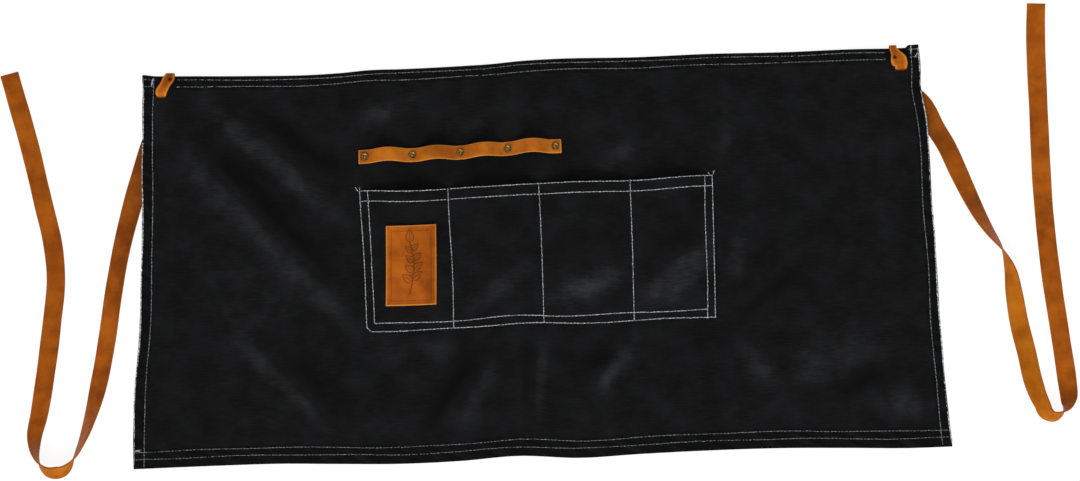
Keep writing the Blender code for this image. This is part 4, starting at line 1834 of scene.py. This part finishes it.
@dataclass
class PanelSeams:
    """The panel's hem seams, the raw threads along its sides, its tacks and loose ends."""

    cloth: Cloth
    seams: Seams
    top_lines: tuple[float, ...] = (0.0040, 0.0108)
    bottom_lines: tuple[float, ...] = (0.0095, 0.0170)
    left_line: float = 0.0107
    right_line: float = 0.0090
    edge_line: float = 0.0006
    side_radius: float = 0.00048
    side_sink: float = 0.0001
    loop_gap: float = 0.001
    # The short rows outside the loops, from and to distances in from the panel's side
    left_stub: Pair = (0.001, 0.012)
    right_stub: Pair = (0.011, 0.001)
    end_gap: float = 0.002
    edge_ends: Pair = (0.004, 0.003)
    wander: float = 0.0004
    edge_wander: float = 0.0005
    loose_wander: float = 0.0007
    tack_half: float = 0.0005

    def build(self, finishes: Finishes) -> None:
        """Sew the hems in dull thread and the side edges in brighter thread.

        Args:
            finishes: the materials.
        """
        width, depth = self.cloth.width, self.cloth.depth
        ground = Ground(self.cloth.top, (1.0, 1.0))
        left, right = self.cloth.hitches
        from_left, from_right = self.right_stub
        spans = (
            (
                left.slot_u + left.over + left.width / 2.0 + self.loop_gap,
                right.slot_u + right.over - right.width / 2.0 - self.loop_gap,
            ),
            (width - from_left, width - from_right),
            self.left_stub,
        )
        rows = [
            self.seams.row(ground, (start, depth - line), (end, depth - line))
            for line in self.top_lines
            for start, end in spans
        ]
        for line in self.bottom_lines:
            ends = ((self.end_gap, line), (width - self.end_gap, line))
            rows.append(self.seams.row(ground, *ends, self.wander))
        self.seams.join("hem_seams", rows, finishes.dull_thread)
        thick = Seams(radius=self.side_radius, sink=self.side_sink, seed=19)
        rows = []
        for line in (self.left_line, width - self.right_line):
            ends = ((line, self.end_gap), (line, depth - self.end_gap))
            rows.append(thick.row(ground, *ends, self.wander))
        thick.join("side_seams", rows, finishes.side_thread)
        frayed = Seams(pitch=0.0015, length=0.0021, radius=0.00078, sink=0.0006, seed=7)
        low, high = self.edge_ends
        rows = [
            frayed.row(ground, (line, low), (line, depth - high), self.edge_wander)
            for line in (self.edge_line, width - self.edge_line)
        ]
        frayed.join("frayed_sides", rows, finishes.edge_thread)
        self.tacks(ground, finishes)

    def tacks(self, ground: Ground, finishes: Finishes) -> None:
        """Close bunches of bright thread where the seams start and end, and loose ends.

        Args:
            ground: the cloth that they lie on.
            finishes: the materials.
        """
        width, depth = self.cloth.width, self.cloth.depth
        dense = Seams(pitch=0.0009, length=0.0026, radius=0.00040, seed=5)
        # The start of each bunch, and how far it runs across and up
        bunches = (
            (0.0090, depth - 0.0095, 0.0006, 0.0060),
            (width - 0.0045, depth - 0.0100, 0.0030, 0.0034),
            (width - 0.0088, depth - 0.0070, 0.0004, 0.0058),
            (0.0022, 0.0186, 0.0046, 0.0003),
        )
        rows = []
        for u, v, across, up in bunches:
            for aside in (-self.tack_half, self.tack_half):
                start = (u + aside, v + aside)
                end = (u + across + aside, v + up + aside)
                rows.append(dense.row(ground, start, end))
        for start, end in LOOSE_ENDS:
            rows.append(dense.row(ground, start, end, self.loose_wander))
        dense.join("corner_tacks", rows, finishes.bright_thread)


@dataclass
class PocketSeams:
    """The pocket's bright double seams, cut across one lower corner, and its dividers."""

    pocket: Pocket
    seams: Seams
    outer: float = 0.0014
    inner: float = 0.0092
    corner: float = 0.0058
    mouth_lines: tuple[float, ...] = (0.0008, 0.0114)
    mouth_end: float = 0.004
    divider_start: float = 0.01
    wander: float = 0.0005

    def build(self, finishes: Finishes) -> None:
        """Sew every line of the pocket in bright thread.

        Args:
            finishes: the materials.
        """
        width, height = self.pocket.width, self.pocket.height
        ground = Ground(self.pocket.top, (width, height))
        rows = []
        for inset in (self.outer, self.inner):
            side = inset / width
            low = inset / height
            cut = self.corner if inset == self.outer else self.inner
            end = 1.0 if inset == self.outer else 1.0 - cut / width
            rows += [
                self.seams.row(ground, (side, cut / height), (side, 1.0)),
                self.seams.row(ground, (1.0 - side, 0.0), (1.0 - side, 1.0)),
                self.seams.row(ground, (cut / width, low), (end, low), self.wander),
            ]
        start = (self.outer / width, self.corner / height)
        end = (self.corner / width, self.outer / height)
        rows.append(self.seams.row(ground, start, end))
        for inset in self.mouth_lines:
            high = 1.0 - inset / height
            ends = ((self.mouth_end, high), (1.0 - self.mouth_end, high))
            rows.append(self.seams.row(ground, *ends, self.wander))
        for divider in self.pocket.dividers:
            rows.append(self.seams.row(ground, (divider, self.divider_start), (divider, 1.0)))
        self.seams.join("pocket_seams", rows, finishes.bright_thread)


@dataclass
class Patch:
    """The leather patch with a pressed sprig inside a thin pressed border."""

    pocket: Pocket
    width: float = 0.0505
    height: float = 0.081
    thickness: float = 0.0016
    left: float = 0.2473
    bottom: float = 0.1603
    lean: float = 0.012
    clearance: float = 0.0003
    cell: float = 0.00055
    press_depth: float = 0.00045
    line: float = 0.00075
    border: float = 0.0052
    rim: float = 0.0016
    rim_share: float = 0.75
    edge_round: float = 0.0004
    # The bead along its edge: rise, place and reach inwards
    bead: Triple = (0.00022, 0.0014, 0.0009)
    # Its warp: rise, and radians to the metre across and up
    warp: Triple = (0.0003, 150.0, 55.0)
    warp_reach: float = 0.01
    border_share: float = 0.75
    rib_share: float = 0.8
    rib_end: float = 0.75
    stem_sway: float = 0.0028
    stem_turns: float = 1.3
    stem_share: float = 1.1
    # Where the stem and the leaves begin and end, in shares of the height from the middle
    stem_low: float = -0.36
    leaves_low: float = -0.30
    sprig_high: float = 0.30
    leaf_pairs: int = 4
    leaf_length: float = 0.0118
    leaf_width: float = 0.0042
    leaf_turn: float = 38.0
    leaf_stagger: float = 0.05
    leaf_shrink: float = 0.09
    leaf_fullness: float = 2.3
    leaf_margin: float = 0.02
    first_leaf: float = 0.22
    leaf_span: float = 0.62

    def stem(self, t: Array | float) -> Array | float:
        """The stem's place across at a share of its height."""
        return self.stem_sway * np.sin(pi * self.stem_turns * t - 0.5)

    def leaves(self) -> list[Triple]:
        """Each leaf's place as a share of the stem, its turn in degrees and its size.

        Returns:
            A row for each leaf.
        """
        leaves = [(1.0, 90.0, 1.05)]
        for pair in range(self.leaf_pairs):
            share = self.first_leaf + self.leaf_span * pair / (self.leaf_pairs - 1)
            size = 1.0 - self.leaf_shrink * pair
            leaves.append((share, self.leaf_turn, size))
            leaves.append((share - self.leaf_stagger, 180.0 - self.leaf_turn, size))
        return leaves

    def leaf_press(self, x: Array, y: Array) -> Array:
        """How deep the leaves' outlines and ribs are pressed at places from the patch's middle.

        Args:
            x, y: places from the patch's middle.

        Returns:
            A share for each place.
        """
        low, high = self.leaves_low * self.height, self.sprig_high * self.height
        press = np.zeros(len(x))
        for share, turn, size in self.leaves():
            base_y = low + (high - low) * share
            base_x = self.stem(share)
            c, s = cos(radians(turn)), sin(radians(turn))
            width = self.leaf_width * size
            along = ((x - base_x) * c + (y - base_y) * s) / (self.leaf_length * size)
            across = (-(x - base_x) * s + (y - base_y) * c) / width
            inside = np.clip(along, 0.0, 1.0)
            half = self.leaf_fullness * np.sqrt(inside) * (1.0 - inside)
            outline = np.abs(np.abs(across) - half) * width
            within = (along > -self.leaf_margin) & (along < 1.0 + self.leaf_margin)
            drawn = 1.0 - eased(outline / self.line)
            rib = 1.0 - eased(np.abs(across) * width / (self.rib_share * self.line))
            rib = self.rib_share * rib * (along < self.rib_end)
            press = np.maximum(press, np.where(within, np.maximum(drawn, rib), 0.0))
        return press

    def press(self, x: Array, y: Array) -> Array:
        """How deep the whole design is pressed at places from the patch's middle.

        Args:
            x, y: places from the patch's middle.

        Returns:
            A share for each place.
        """
        low, high = self.stem_low * self.height, self.sprig_high * self.height
        share = (y - low) / (high - low)
        stem = 1.0 - eased(np.abs(x - self.stem(share)) / (self.stem_share * self.line))
        stem = stem * (share > 0.0) * (share < 1.0)
        border = np.abs(self.inset(x, y) - self.border) / (self.rib_share * self.line)
        border = 1.0 - eased(border)
        return np.maximum(np.maximum(stem, self.leaf_press(x, y)), self.border_share * border)

    def from_middle(self, u: Array, v: Array) -> tuple[Array, Array]:
        """How far places of the flat cloth lie across and up from the patch's middle."""
        return u - self.left - self.width / 2.0, v - self.bottom - self.height / 2.0

    def inset(self, x: Array, y: Array) -> Array:
        """How far places lie inside the patch's edge, given from its middle."""
        return np.minimum(self.width / 2.0 - np.abs(x), self.height / 2.0 - np.abs(y))

    def top(self, u: Array, v: Array) -> Array:
        """Places on the patch's front, a row of x, y and z each.

        Args:
            u, v: places on the flat cloth.

        Returns:
            The rows.
        """
        lean = self.lean * (self.bottom + self.height - v)
        p, q = self.pocket.share(u - lean, v)
        base = self.pocket.top(p, q)
        spot = self.pocket.cloth.spot(u - lean, v)
        x, y = self.from_middle(u, v)
        inset = self.inset(x, y)
        rise, middle, reach = self.bead
        bead = rise * np.exp(-(((inset - middle) / reach) ** 2))
        rise, across, up = self.warp
        warp = rise * np.sin(x * across + y * up) * eased(inset / self.warp_reach)
        high = base[:, 2] + self.clearance + self.thickness + bead + warp
        return np.column_stack((spot, high - self.press_depth * self.press(x, y)))

    def build(self, finishes: Finishes) -> Piece:
        """Lay the patch, mark what is pressed and what is raised, thicken and dress it.

        Args:
            finishes: the materials.

        Returns:
            The patch.
        """
        columns = evenly(self.left, (self.left + self.width, self.cell))
        rows = evenly(self.bottom, (self.bottom + self.height, self.cell))
        piece = laid_grid("patch_leather_piece", columns, rows, self.top)
        x, y = self.from_middle(*flat_places(piece.data).T)
        mark(piece.data, "press", self.press(x, y))
        mark(piece.data, "rim", self.rim_share * (1.0 - eased(self.inset(x, y) / self.rim)))
        solidify(piece, self.thickness)
        soften_edges(piece, self.edge_round)
        return finish_piece(piece, finishes.patch, "patch_leather", "leather_patch")


@dataclass
class LoopStrip:
    """The leather strip that bulges into a loop between each two rivets."""

    cloth: Cloth
    rise: float = 0.0088
    lean: float = 0.0020
    pitch: float = 0.0485
    held: float = 0.0045
    loops: int = 4
    end: float = 0.0062
    width: float = 0.0142
    thickness: float = 0.0022
    clearance: float = 0.0003
    rim: float = 0.0013
    rim_share: float = 0.6
    edge_round: float = 0.0004
    column_cell: float = 0.0016
    row_cell: float = 0.0011
    cup: float = 0.0005
    curl: float = 0.0003
    slimness: float = 1.3
    dimple: float = 0.0004
    dimple_reach: float = 0.006
    # Its ripple: rise, and radians to the metre along and across
    ripple: Triple = (0.00025, 260.0, 190.0)
    ripple_ease: float = 0.002

    def loop_height(self, distance: Array) -> Array:
        """Rise of the strip at distances from the first rivet, flat at each rivet.

        Args:
            distance: places along the strip.

        Returns:
            A height for each.
        """
        share = (distance / self.pitch) % 1.0
        flat = self.held / self.pitch
        inside = np.clip((share - flat) / (1.0 - 2.0 * flat), 0.0, 1.0)
        beyond = (distance <= 0.0) | (distance >= self.loops * self.pitch)
        return np.where(beyond, 0.0, self.rise * np.sin(pi * inside) ** self.slimness)

    def top(self, distance: Array, across: Array) -> Array:
        """Places on the strip's front.

        Args:
            distance: places along the strip.
            across: places from its middle line.

        Returns:
            A row of x, y and z each.
        """
        u = self.cloth.first_rivet[0] + distance
        centre = np.full(len(u), self.cloth.first_rivet[1])
        rise = self.loop_height(distance)
        base = self.cloth.top(u, centre)[:, 2]
        spot = self.cloth.spot(u, centre + self.lean * rise / self.rise + across)
        edge = np.abs(across) / (self.width / 2.0)
        cup = -self.cup * edge**2 - self.curl * edge**8
        half = 0.5 * self.pitch
        from_rivet = np.hypot((distance + half) % self.pitch - half, across)
        dimple = self.dimple * (1.0 - eased(from_rivet / self.dimple_reach))
        height, along, aside = self.ripple
        ripple = height * np.sin(distance * along + across * aside) * eased(rise / self.ripple_ease)
        high = base + self.clearance + self.thickness + rise + cup - dimple + ripple
        return np.column_stack((spot, high))

    def build(self, finishes: Finishes) -> Piece:
        """Lay the strip over its loops, thicken it and dress it.

        Args:
            finishes: the materials.

        Returns:
            The strip.
        """
        columns = evenly(-self.end, (self.loops * self.pitch + self.end, self.column_cell))
        rows = evenly(-self.width / 2.0, (self.width / 2.0, self.row_cell))
        piece = laid_grid("strip_leather_piece", columns, rows, self.top)
        distance, across = flat_places(piece.data).T
        ends = np.minimum(distance + self.end, self.loops * self.pitch + self.end - distance)
        inset = np.minimum(self.width / 2.0 - np.abs(across), ends)
        # The rim: a pale raw edge with a painted highlight along the strip's edges
        mark(piece.data, "rim", self.rim_share * (1.0 - eased(inset / self.rim)))
        solidify(piece, self.thickness)
        soften_edges(piece, self.edge_round)
        return finish_piece(piece, finishes.strip, "strip_leather", "tool_loop_strip")


class Ring(NamedTuple):
    """A circle of the rivet: its radius and its height above the strip, as shares of the cap."""

    radius: float
    height: float


# From the middle of the cap out, over its rim and in to the post
RIVET_RINGS = (
    Ring(0.14, 0.62),
    Ring(0.26, 0.60),
    Ring(0.36, 0.42),
    Ring(0.60, 0.50),
    Ring(0.76, 0.92),
    Ring(0.86, 1.0),
    Ring(0.96, 0.80),
    Ring(1.0, 0.35),
    Ring(0.98, 0.0),
    Ring(0.38, 0.0),
)


@dataclass
class Rivets:
    """The five brass rivets with rolled, slightly hollow caps."""

    count: int = 5
    steps: int = 28
    cap: float = 0.0016
    back_cap: float = 0.0007
    sharp_from: float = 50.0

    def build(self, finishes: Finishes) -> None:
        """Turn each rivet's cap where its CAD solid is, with its back cap below.

        Args:
            finishes: the materials.
        """
        for number in range(1, self.count + 1):
            low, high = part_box(f"rivet_{number}")
            middle = (low + high) / 2.0
            radius = (high.x - low.x) / 2.0
            under = high.z - self.cap
            back = low.z + self.back_cap
            rings = [(ring.radius * radius, under + ring.height * self.cap) for ring in RIVET_RINGS]
            rings += [(rings[-1][0], back), (radius, back), (radius, low.z)]
            points = []
            for step in range(self.steps):
                turn = 2.0 * pi * step / self.steps
                points += [(middle.x + r * cos(turn), middle.y + r * sin(turn), z) for r, z in rings]
            size = len(rings)
            faces = []
            for step in range(self.steps):
                here = step * size
                there = (step + 1) % self.steps * size
                faces += [(here + i, here + i + 1, there + i + 1, there + i) for i in range(size - 1)]
            faces.append(tuple(step * size for step in range(self.steps)))
            faces.append(tuple(step * size + size - 1 for step in reversed(range(self.steps))))
            piece = from_arrays(f"rivet_cap_{number}", np.array(points), faces)
            self.outward(piece)
            piece.data.set_sharp_from_angle(angle=radians(self.sharp_from))
            finish_piece(piece, finishes.brass, "rivet_brass", f"rivet_{number}")

    def outward(self, piece: Piece) -> None:
        """Turn all faces of a closed piece outwards.

        Args:
            piece: the object.
        """
        bm = bmesh.new()
        bm.from_mesh(piece.data)
        bmesh.ops.recalc_face_normals(bm, faces=bm.faces[:])
        bm.to_mesh(piece.data)
        bm.free()


class Side(Enum):
    """Which side of a leather tie a face belongs to."""

    GRAIN = 0
    FLESH = 1
    EDGE = 2


@dataclass
class Tie:
    """A leather tie: a loop over the waist edge, through its slot and on to its free end."""

    cloth: Cloth
    hitch: Hitch
    route: tuple[Route, ...]
    node: str
    name: str
    swell: tuple[Swell, ...]
    eyelet: Triple
    length: float = 0.850
    width: float = 0.0188
    thickness: float = 0.0018
    clearance: float = 0.0003
    loop_end: float = 0.010
    taper: float = 0.045
    route_step: float = 0.009
    slot_half: float = 0.00325
    slot_used: float = 0.95
    edge_round: float = 0.00045
    lanes: int = 11
    loop_spacing: float = 0.0009
    strap_spacing: float = 0.0020
    waver: float = 0.012
    waver_turns: Pair = (57.0, 131.0)
    lump: float = 0.0012
    eyelet_share: float = 0.4
    loop_highlight: float = 0.65
    # Painted shade where the strap leaves the panel's side: its darkest share and its reach
    darkest: float = 0.42
    edge_shade_reach: float = 0.036
    edge_places: int = 81
    loop_highlight_from: float = 0.45
    bend_steps: int = 9
    slot_steps: int = 6
    sharp_from: float = 60.0

    def slot_frame(self) -> tuple[Array, Array, Array, float]:
        """The slot's middle, the ways along and up to the waist edge, and its distance.

        Returns:
            The middle, the two ways and the distance.
        """
        depth = self.cloth.depth
        u = self.hitch.slot_u
        reach = 2.0 * self.slot_half
        middle, before, after, above = self.cloth.spot(
            np.array((u, u - reach, u + reach, u)),
            np.array((depth - self.hitch.below, depth, depth, depth)),
        )
        along = (after - before) / np.linalg.norm(after - before)
        up = np.array((-along[1], along[0]))
        return middle, along, up, float((above - middle) @ up)

    def loop(self) -> Array:
        """The loop's middle line, from its end behind the hem to below its slot.

        Returns:
            A row of x, y and z each.
        """
        middle, along, up, reach = self.slot_frame()
        back = self.thickness / 2.0
        front = back + self.thickness + self.cloth.hem + 2.0 * self.clearance
        radius = (front - back) / 2.0
        over = self.hitch.over
        rows = [(over, reach - self.loop_end * share, back) for share in (1.0, 0.5)]
        for turn in np.radians(np.linspace(-90.0, 90.0, self.bend_steps)):
            rows.append((over, reach + radius * cos(turn), back + radius * (1.0 + sin(turn))))
        for share in (0.25, 0.5, 0.75):
            high = front + self.lump * sin(pi * share)
            rows.append((over * (1.0 - share), reach + (self.slot_half - reach) * share, high))
        used = self.slot_used * self.slot_half
        for share in np.linspace(0.0, 1.0, self.slot_steps):
            high = front + (back - front) * float(eased(share))
            rows.append((0.0, used * (1.0 - 2.0 * share), high))
        table = np.array(rows)
        flat = middle + table[:, :1] * along + table[:, 1:2] * up
        return np.column_stack((flat, table[:, 2]))

    def strap(self) -> tuple[Array, Array, Array]:
        """The strap's middle line below its slot, its turns in radians and its widths.

        Returns:
            The line, the turns and the widths.
        """
        start = self.slot_frame()[0] + np.array((self.hitch.start_across, self.hitch.start_up))
        rows = np.array(self.route)
        rows[:, :2] = start + rows[:, :2] * self.length
        runs = np.linalg.norm(np.diff(rows[:, :2], axis=0), axis=1)
        distance = np.concatenate(((0.0,), np.cumsum(runs)))
        at = np.linspace(0.0, distance[-1], round(distance[-1] / self.route_step) + 1)
        line = np.column_stack([smooth_curve(distance, column)(at) for column in rows.T])
        turns = np.radians(line[:, 2])
        grown = eased(np.arange(len(at)) * self.route_step / self.taper)
        widths = self.hitch.width + (self.width - self.hitch.width) * grown
        high = np.abs(np.sin(turns)) * widths / 2.0 + np.abs(np.cos(turns)) * self.thickness / 2.0
        return np.column_stack((line[:, :2], high)), turns, widths

    def stations(self) -> tuple[Array, Array, Array, Array]:
        """Close stations all along the tie.

        Returns:
            Middle points, ways across, face normals on the grain side, and widths.
        """
        loop = self.loop()
        strap, turns, widths = self.strap()
        points = np.concatenate((loop, strap))
        heading = np.gradient(points, axis=0)
        along = self.slot_frame()[1]
        across = np.tile((*along, 0.0), (len(points), 1))
        level = np.column_stack((-heading[:, 1], heading[:, 0], np.zeros(len(points))))
        across[len(loop) :] = unit(level[len(loop) :]) * np.cos(turns)[:, None]
        across[len(loop) :, 2] -= self.hitch.side * np.sin(turns)
        runs = np.linalg.norm(np.diff(points, axis=0), axis=1)
        distance = np.concatenate(((0.0,), np.cumsum(runs)))
        looped = distance[len(loop)]
        swell = smooth_curve([row.at for row in self.swell], [row.width for row in self.swell])
        loop_widths = self.hitch.width * swell(distance[: len(loop)] / distance[len(loop) - 1])
        table = np.column_stack((points, across, np.concatenate((loop_widths, widths))))
        at = evenly(0.0, (looped, self.loop_spacing), (distance[-1], self.strap_spacing))
        fine = np.column_stack([smooth_curve(distance, column)(at) for column in table.T])
        middles = fine[:, :3]
        heading = unit(np.gradient(middles, at, axis=0))
        across = fine[:, 3:6]
        across = unit(across - heading * (across * heading).sum(axis=1)[:, None])
        slow, quick = self.waver_turns
        waves = np.sin(at * slow) + 0.6 * np.sin(at * quick + 1.0)
        uneven = 1.0 + self.waver * waves * (at > looped)
        return middles, across, np.cross(heading, across), fine[:, 6] * uneven

    def section(self) -> Array:
        """The strap's outline as rows: share of the half width, metres further out, metres up.

        Returns:
            The rows, once round.
        """
        half = self.thickness / 2.0
        r = self.edge_round
        # Halfway round the edge
        out = 0.7 * r
        high = half - 0.3 * r
        top = [(share, 0.0, half) for share in np.linspace(-1.0, 1.0, self.lanes)]
        right = [(1.0, out, high), (1.0, r, half - r), (1.0, r, r - half), (1.0, out, -high)]
        bottom = [(share, 0.0, -half) for share in np.linspace(1.0, -1.0, self.lanes)]
        left = [(-1.0, -aside, up) for _, aside, up in reversed(right)]
        return np.array(top + right + bottom + left)

    def build(self, finishes: Finishes) -> Piece:
        """Sweep the outline along the stations and dress the grain, the flesh and the edges.

        Args:
            finishes: the materials.

        Returns:
            The tie.
        """
        middles, across, normals, widths = self.stations()
        ring = self.section()
        out = ring[None, :, 0] * (widths[:, None] / 2.0 - self.edge_round) + ring[None, :, 1]
        points = middles[:, None, :] + across[:, None, :] * out[:, :, None]
        points = points + normals[:, None, :] * ring[None, :, 2:]
        marks = self.eyelet_mark(points, normals, ring)
        depths = marks * self.thickness * self.eyelet_share
        points = points - normals[:, None, :] * depths[:, :, None]
        count, size = len(middles), len(ring)
        faces = []
        for start in range(0, (count - 1) * size, size):
            for here in range(size):
                ahead = (here + 1) % size
                faces.append((start + here, start + size + here, start + size + ahead, start + ahead))
        sides = [self.side_of(j).value for j in range(size)] * (count - 1)
        faces.append(tuple(range(size)))
        faces.append(tuple((count - 1) * size + j for j in reversed(range(size))))
        sides += [Side.EDGE.value] * 2
        piece = from_arrays(self.name, points.reshape(-1, 3), faces)
        for material in (finishes.grain, finishes.flesh, finishes.raw_edge):
            piece.data.materials.append(material)
        piece.data.polygons.foreach_set("material_index", sides)
        # Painted shade: dark in the dent of the eyelet or pinch, and where the strap leaves the
        # panel's side
        mark(piece.data, "press", np.maximum(marks, self.edge_shade(points)))
        # Painted highlight along the edges of the loop's front
        mark(piece.data, "rim", self.loop_rim(points, ring))
        piece.data.set_sharp_from_angle(angle=radians(self.sharp_from))
        return finish_piece(piece, finishes.grain, "tie_leather", self.node)

    def side_of(self, lane: int) -> Side:
        """Which side of the tie a strip of faces along it belongs to.

        Args:
            lane: the strip's number round the outline.

        Returns:
            The side.
        """
        if lane < self.lanes - 1:
            return Side.GRAIN
        if self.lanes + 4 <= lane < 2 * self.lanes + 3:
            return Side.FLESH
        return Side.EDGE

    def edge_shade(self, points: Array) -> Array:
        """How much painted shade darkens each point where the strap comes out from under the panel's
        side.

        Args:
            points: each station's outline.

        Returns:
            A share for each station and place of the outline.
        """
        side_u = self.cloth.width if self.hitch.side > 0 else 0.0
        rows = np.linspace(0.0, self.cloth.depth, self.edge_places)
        edge = self.cloth.spot(np.full(self.edge_places, side_u), rows)
        side = np.interp(points[:, :, 1], edge[:, 1], edge[:, 0])
        beyond = self.hitch.side * (points[:, :, 0] - side)
        return self.darkest * (1.0 - eased(beyond / self.edge_shade_reach)) * (beyond > 0.0)

    def loop_rim(self, points: Array, ring: Array) -> Array:
        """How much painted highlight each point gets along the edges of the loop's front.

        Args:
            points: each station's outline.
            ring: the outline's rows.

        Returns:
            A share for each station and place of the outline.
        """
        high = points[:, :, 2] > self.cloth.hem + self.thickness / 2.0
        middle, _, _, reach = self.slot_frame()
        away = np.hypot(points[:, :, 0] - middle[0], points[:, :, 1] - middle[1])
        beside = away < reach + self.width
        from_middle = np.abs(ring[None, :, 0])
        edges = eased((from_middle - self.loop_highlight_from) / (1.0 - self.loop_highlight_from))
        return self.loop_highlight * edges * (high & (ring[None, :, 2] > 0.0)) * beside

    def eyelet_mark(self, points: Array, normals: Array, ring: Array) -> Array:
        """How deep each point lies in the small hole or pinched fold in the loop's front.

        Args:
            points: each station's outline.
            normals: each station's face normal.
            ring: the outline's rows.

        Returns:
            A share for each station and place of the outline.
        """
        middle, along, up, _ = self.slot_frame()
        aside, above, radius = self.eyelet
        place = middle + along * aside + up * above
        away = np.hypot(points[:, :, 0] - place[0], points[:, :, 1] - place[1])
        high = points[:, :, 2] > self.cloth.hem + self.thickness
        depth = 1.0 - eased((away - radius) / radius)
        return depth * (high & (ring[None, :, 2] > 0.0)) * (normals[:, None, 2] > 0.5)


@dataclass
class Studio:
    """The pale floor, soft light from the foot of the picture, and the camera above."""

    lens: float = 150.0
    sensor: float = 36.0
    seen_width: float = 1.080
    focus_height: float = 0.003
    aim: Pair = (0.001, 0.0005)
    floor_half: float = 14.0
    sky: float = 0.65
    sun: float = 2.45
    sun_height: float = 32.0
    sun_turn: float = -12.0
    sun_spread: float = 44.0
    floor_drop: float = 0.0004
    seen_far: float = 50.0

    def build(self, shift: Array, slots: tuple[Pair, ...]) -> None:
        """Lay the floor, dark beneath the slots, set the lights and hang the camera.

        Args:
            shift: how far the cloth is moved to its place.
            slots: the slots' middles.
        """
        deselect()
        bpy.ops.mesh.primitive_plane_add(size=2.0 * self.floor_half, location=(0.0, 0.0, 0.0))
        floor = adopt(bpy.context.object, "floor")
        pale = Plain(
            "pale_floor",
            (0.17, 0.17, 0.17),
            (0.18, 0.18, 0.18),
            roughness=1.0,
            glow=0.88,
            unlit=slots,
        )
        floor.data.materials.append(pale.build())
        floor.location.z = -self.floor_drop
        world = bpy.data.worlds.new("soft_sky")
        world.use_nodes = True
        background = world.node_tree.nodes["Background"]
        set_inputs(background, {"Color": (*WHITE, 1.0), "Strength": self.sky})
        bpy.context.scene.world = world
        bpy.ops.object.light_add(type="SUN", location=(0.0, -2.0, 2.0))
        sun = bpy.context.object
        sun.data.energy = self.sun
        sun.data.angle = radians(self.sun_spread)
        sun.rotation_euler = (radians(90.0 - self.sun_height), 0.0, radians(self.sun_turn))
        camera = bpy.data.cameras.new("above")
        camera.lens = self.lens
        camera.sensor_width = self.sensor
        camera.clip_end = self.seen_far
        hung = bpy.data.objects.new("above", camera)
        bpy.context.scene.collection.objects.link(hung)
        away = self.seen_width * self.lens / self.sensor
        hung.location = (self.aim[0] + shift[0], self.aim[1] + shift[1], self.focus_height + away)
        bpy.context.scene.camera = hung
        bpy.context.scene.view_settings.view_transform = "Standard"


def main() -> None:
    """Build the apron from its panel outwards, then the studio round it."""
    finishes = Finishes()
    cloth = Cloth()
    LOG.info("map shifted by %.5f, %.5f", *cloth.shift)
    Panel(cloth).build(finishes)
    pocket = Pocket(cloth)
    pocket.build(finishes)
    PanelSeams(cloth, Seams(sink=0.00016)).build(finishes)
    PocketSeams(pocket, Seams(radius=0.00044, seed=3)).build(finishes)
    Patch(pocket).build(finishes)
    LoopStrip(cloth).build(finishes)
    Rivets().build(finishes)
    left_node, right_node = TIE_NODES
    left = (LEFT_HITCH, LEFT_ROUTE, left_node, "tie_leather_left", LEFT_SWELL, LEFT_EYELET)
    right = (RIGHT_HITCH, RIGHT_ROUTE, right_node, "tie_leather_right", RIGHT_SWELL, RIGHT_PINCH)
    for settings in (left, right):
        Tie(cloth, *settings).build(finishes)
    Studio().build(cloth.shift, cloth.slot_spots())


if __name__ == "__main__":
    main()
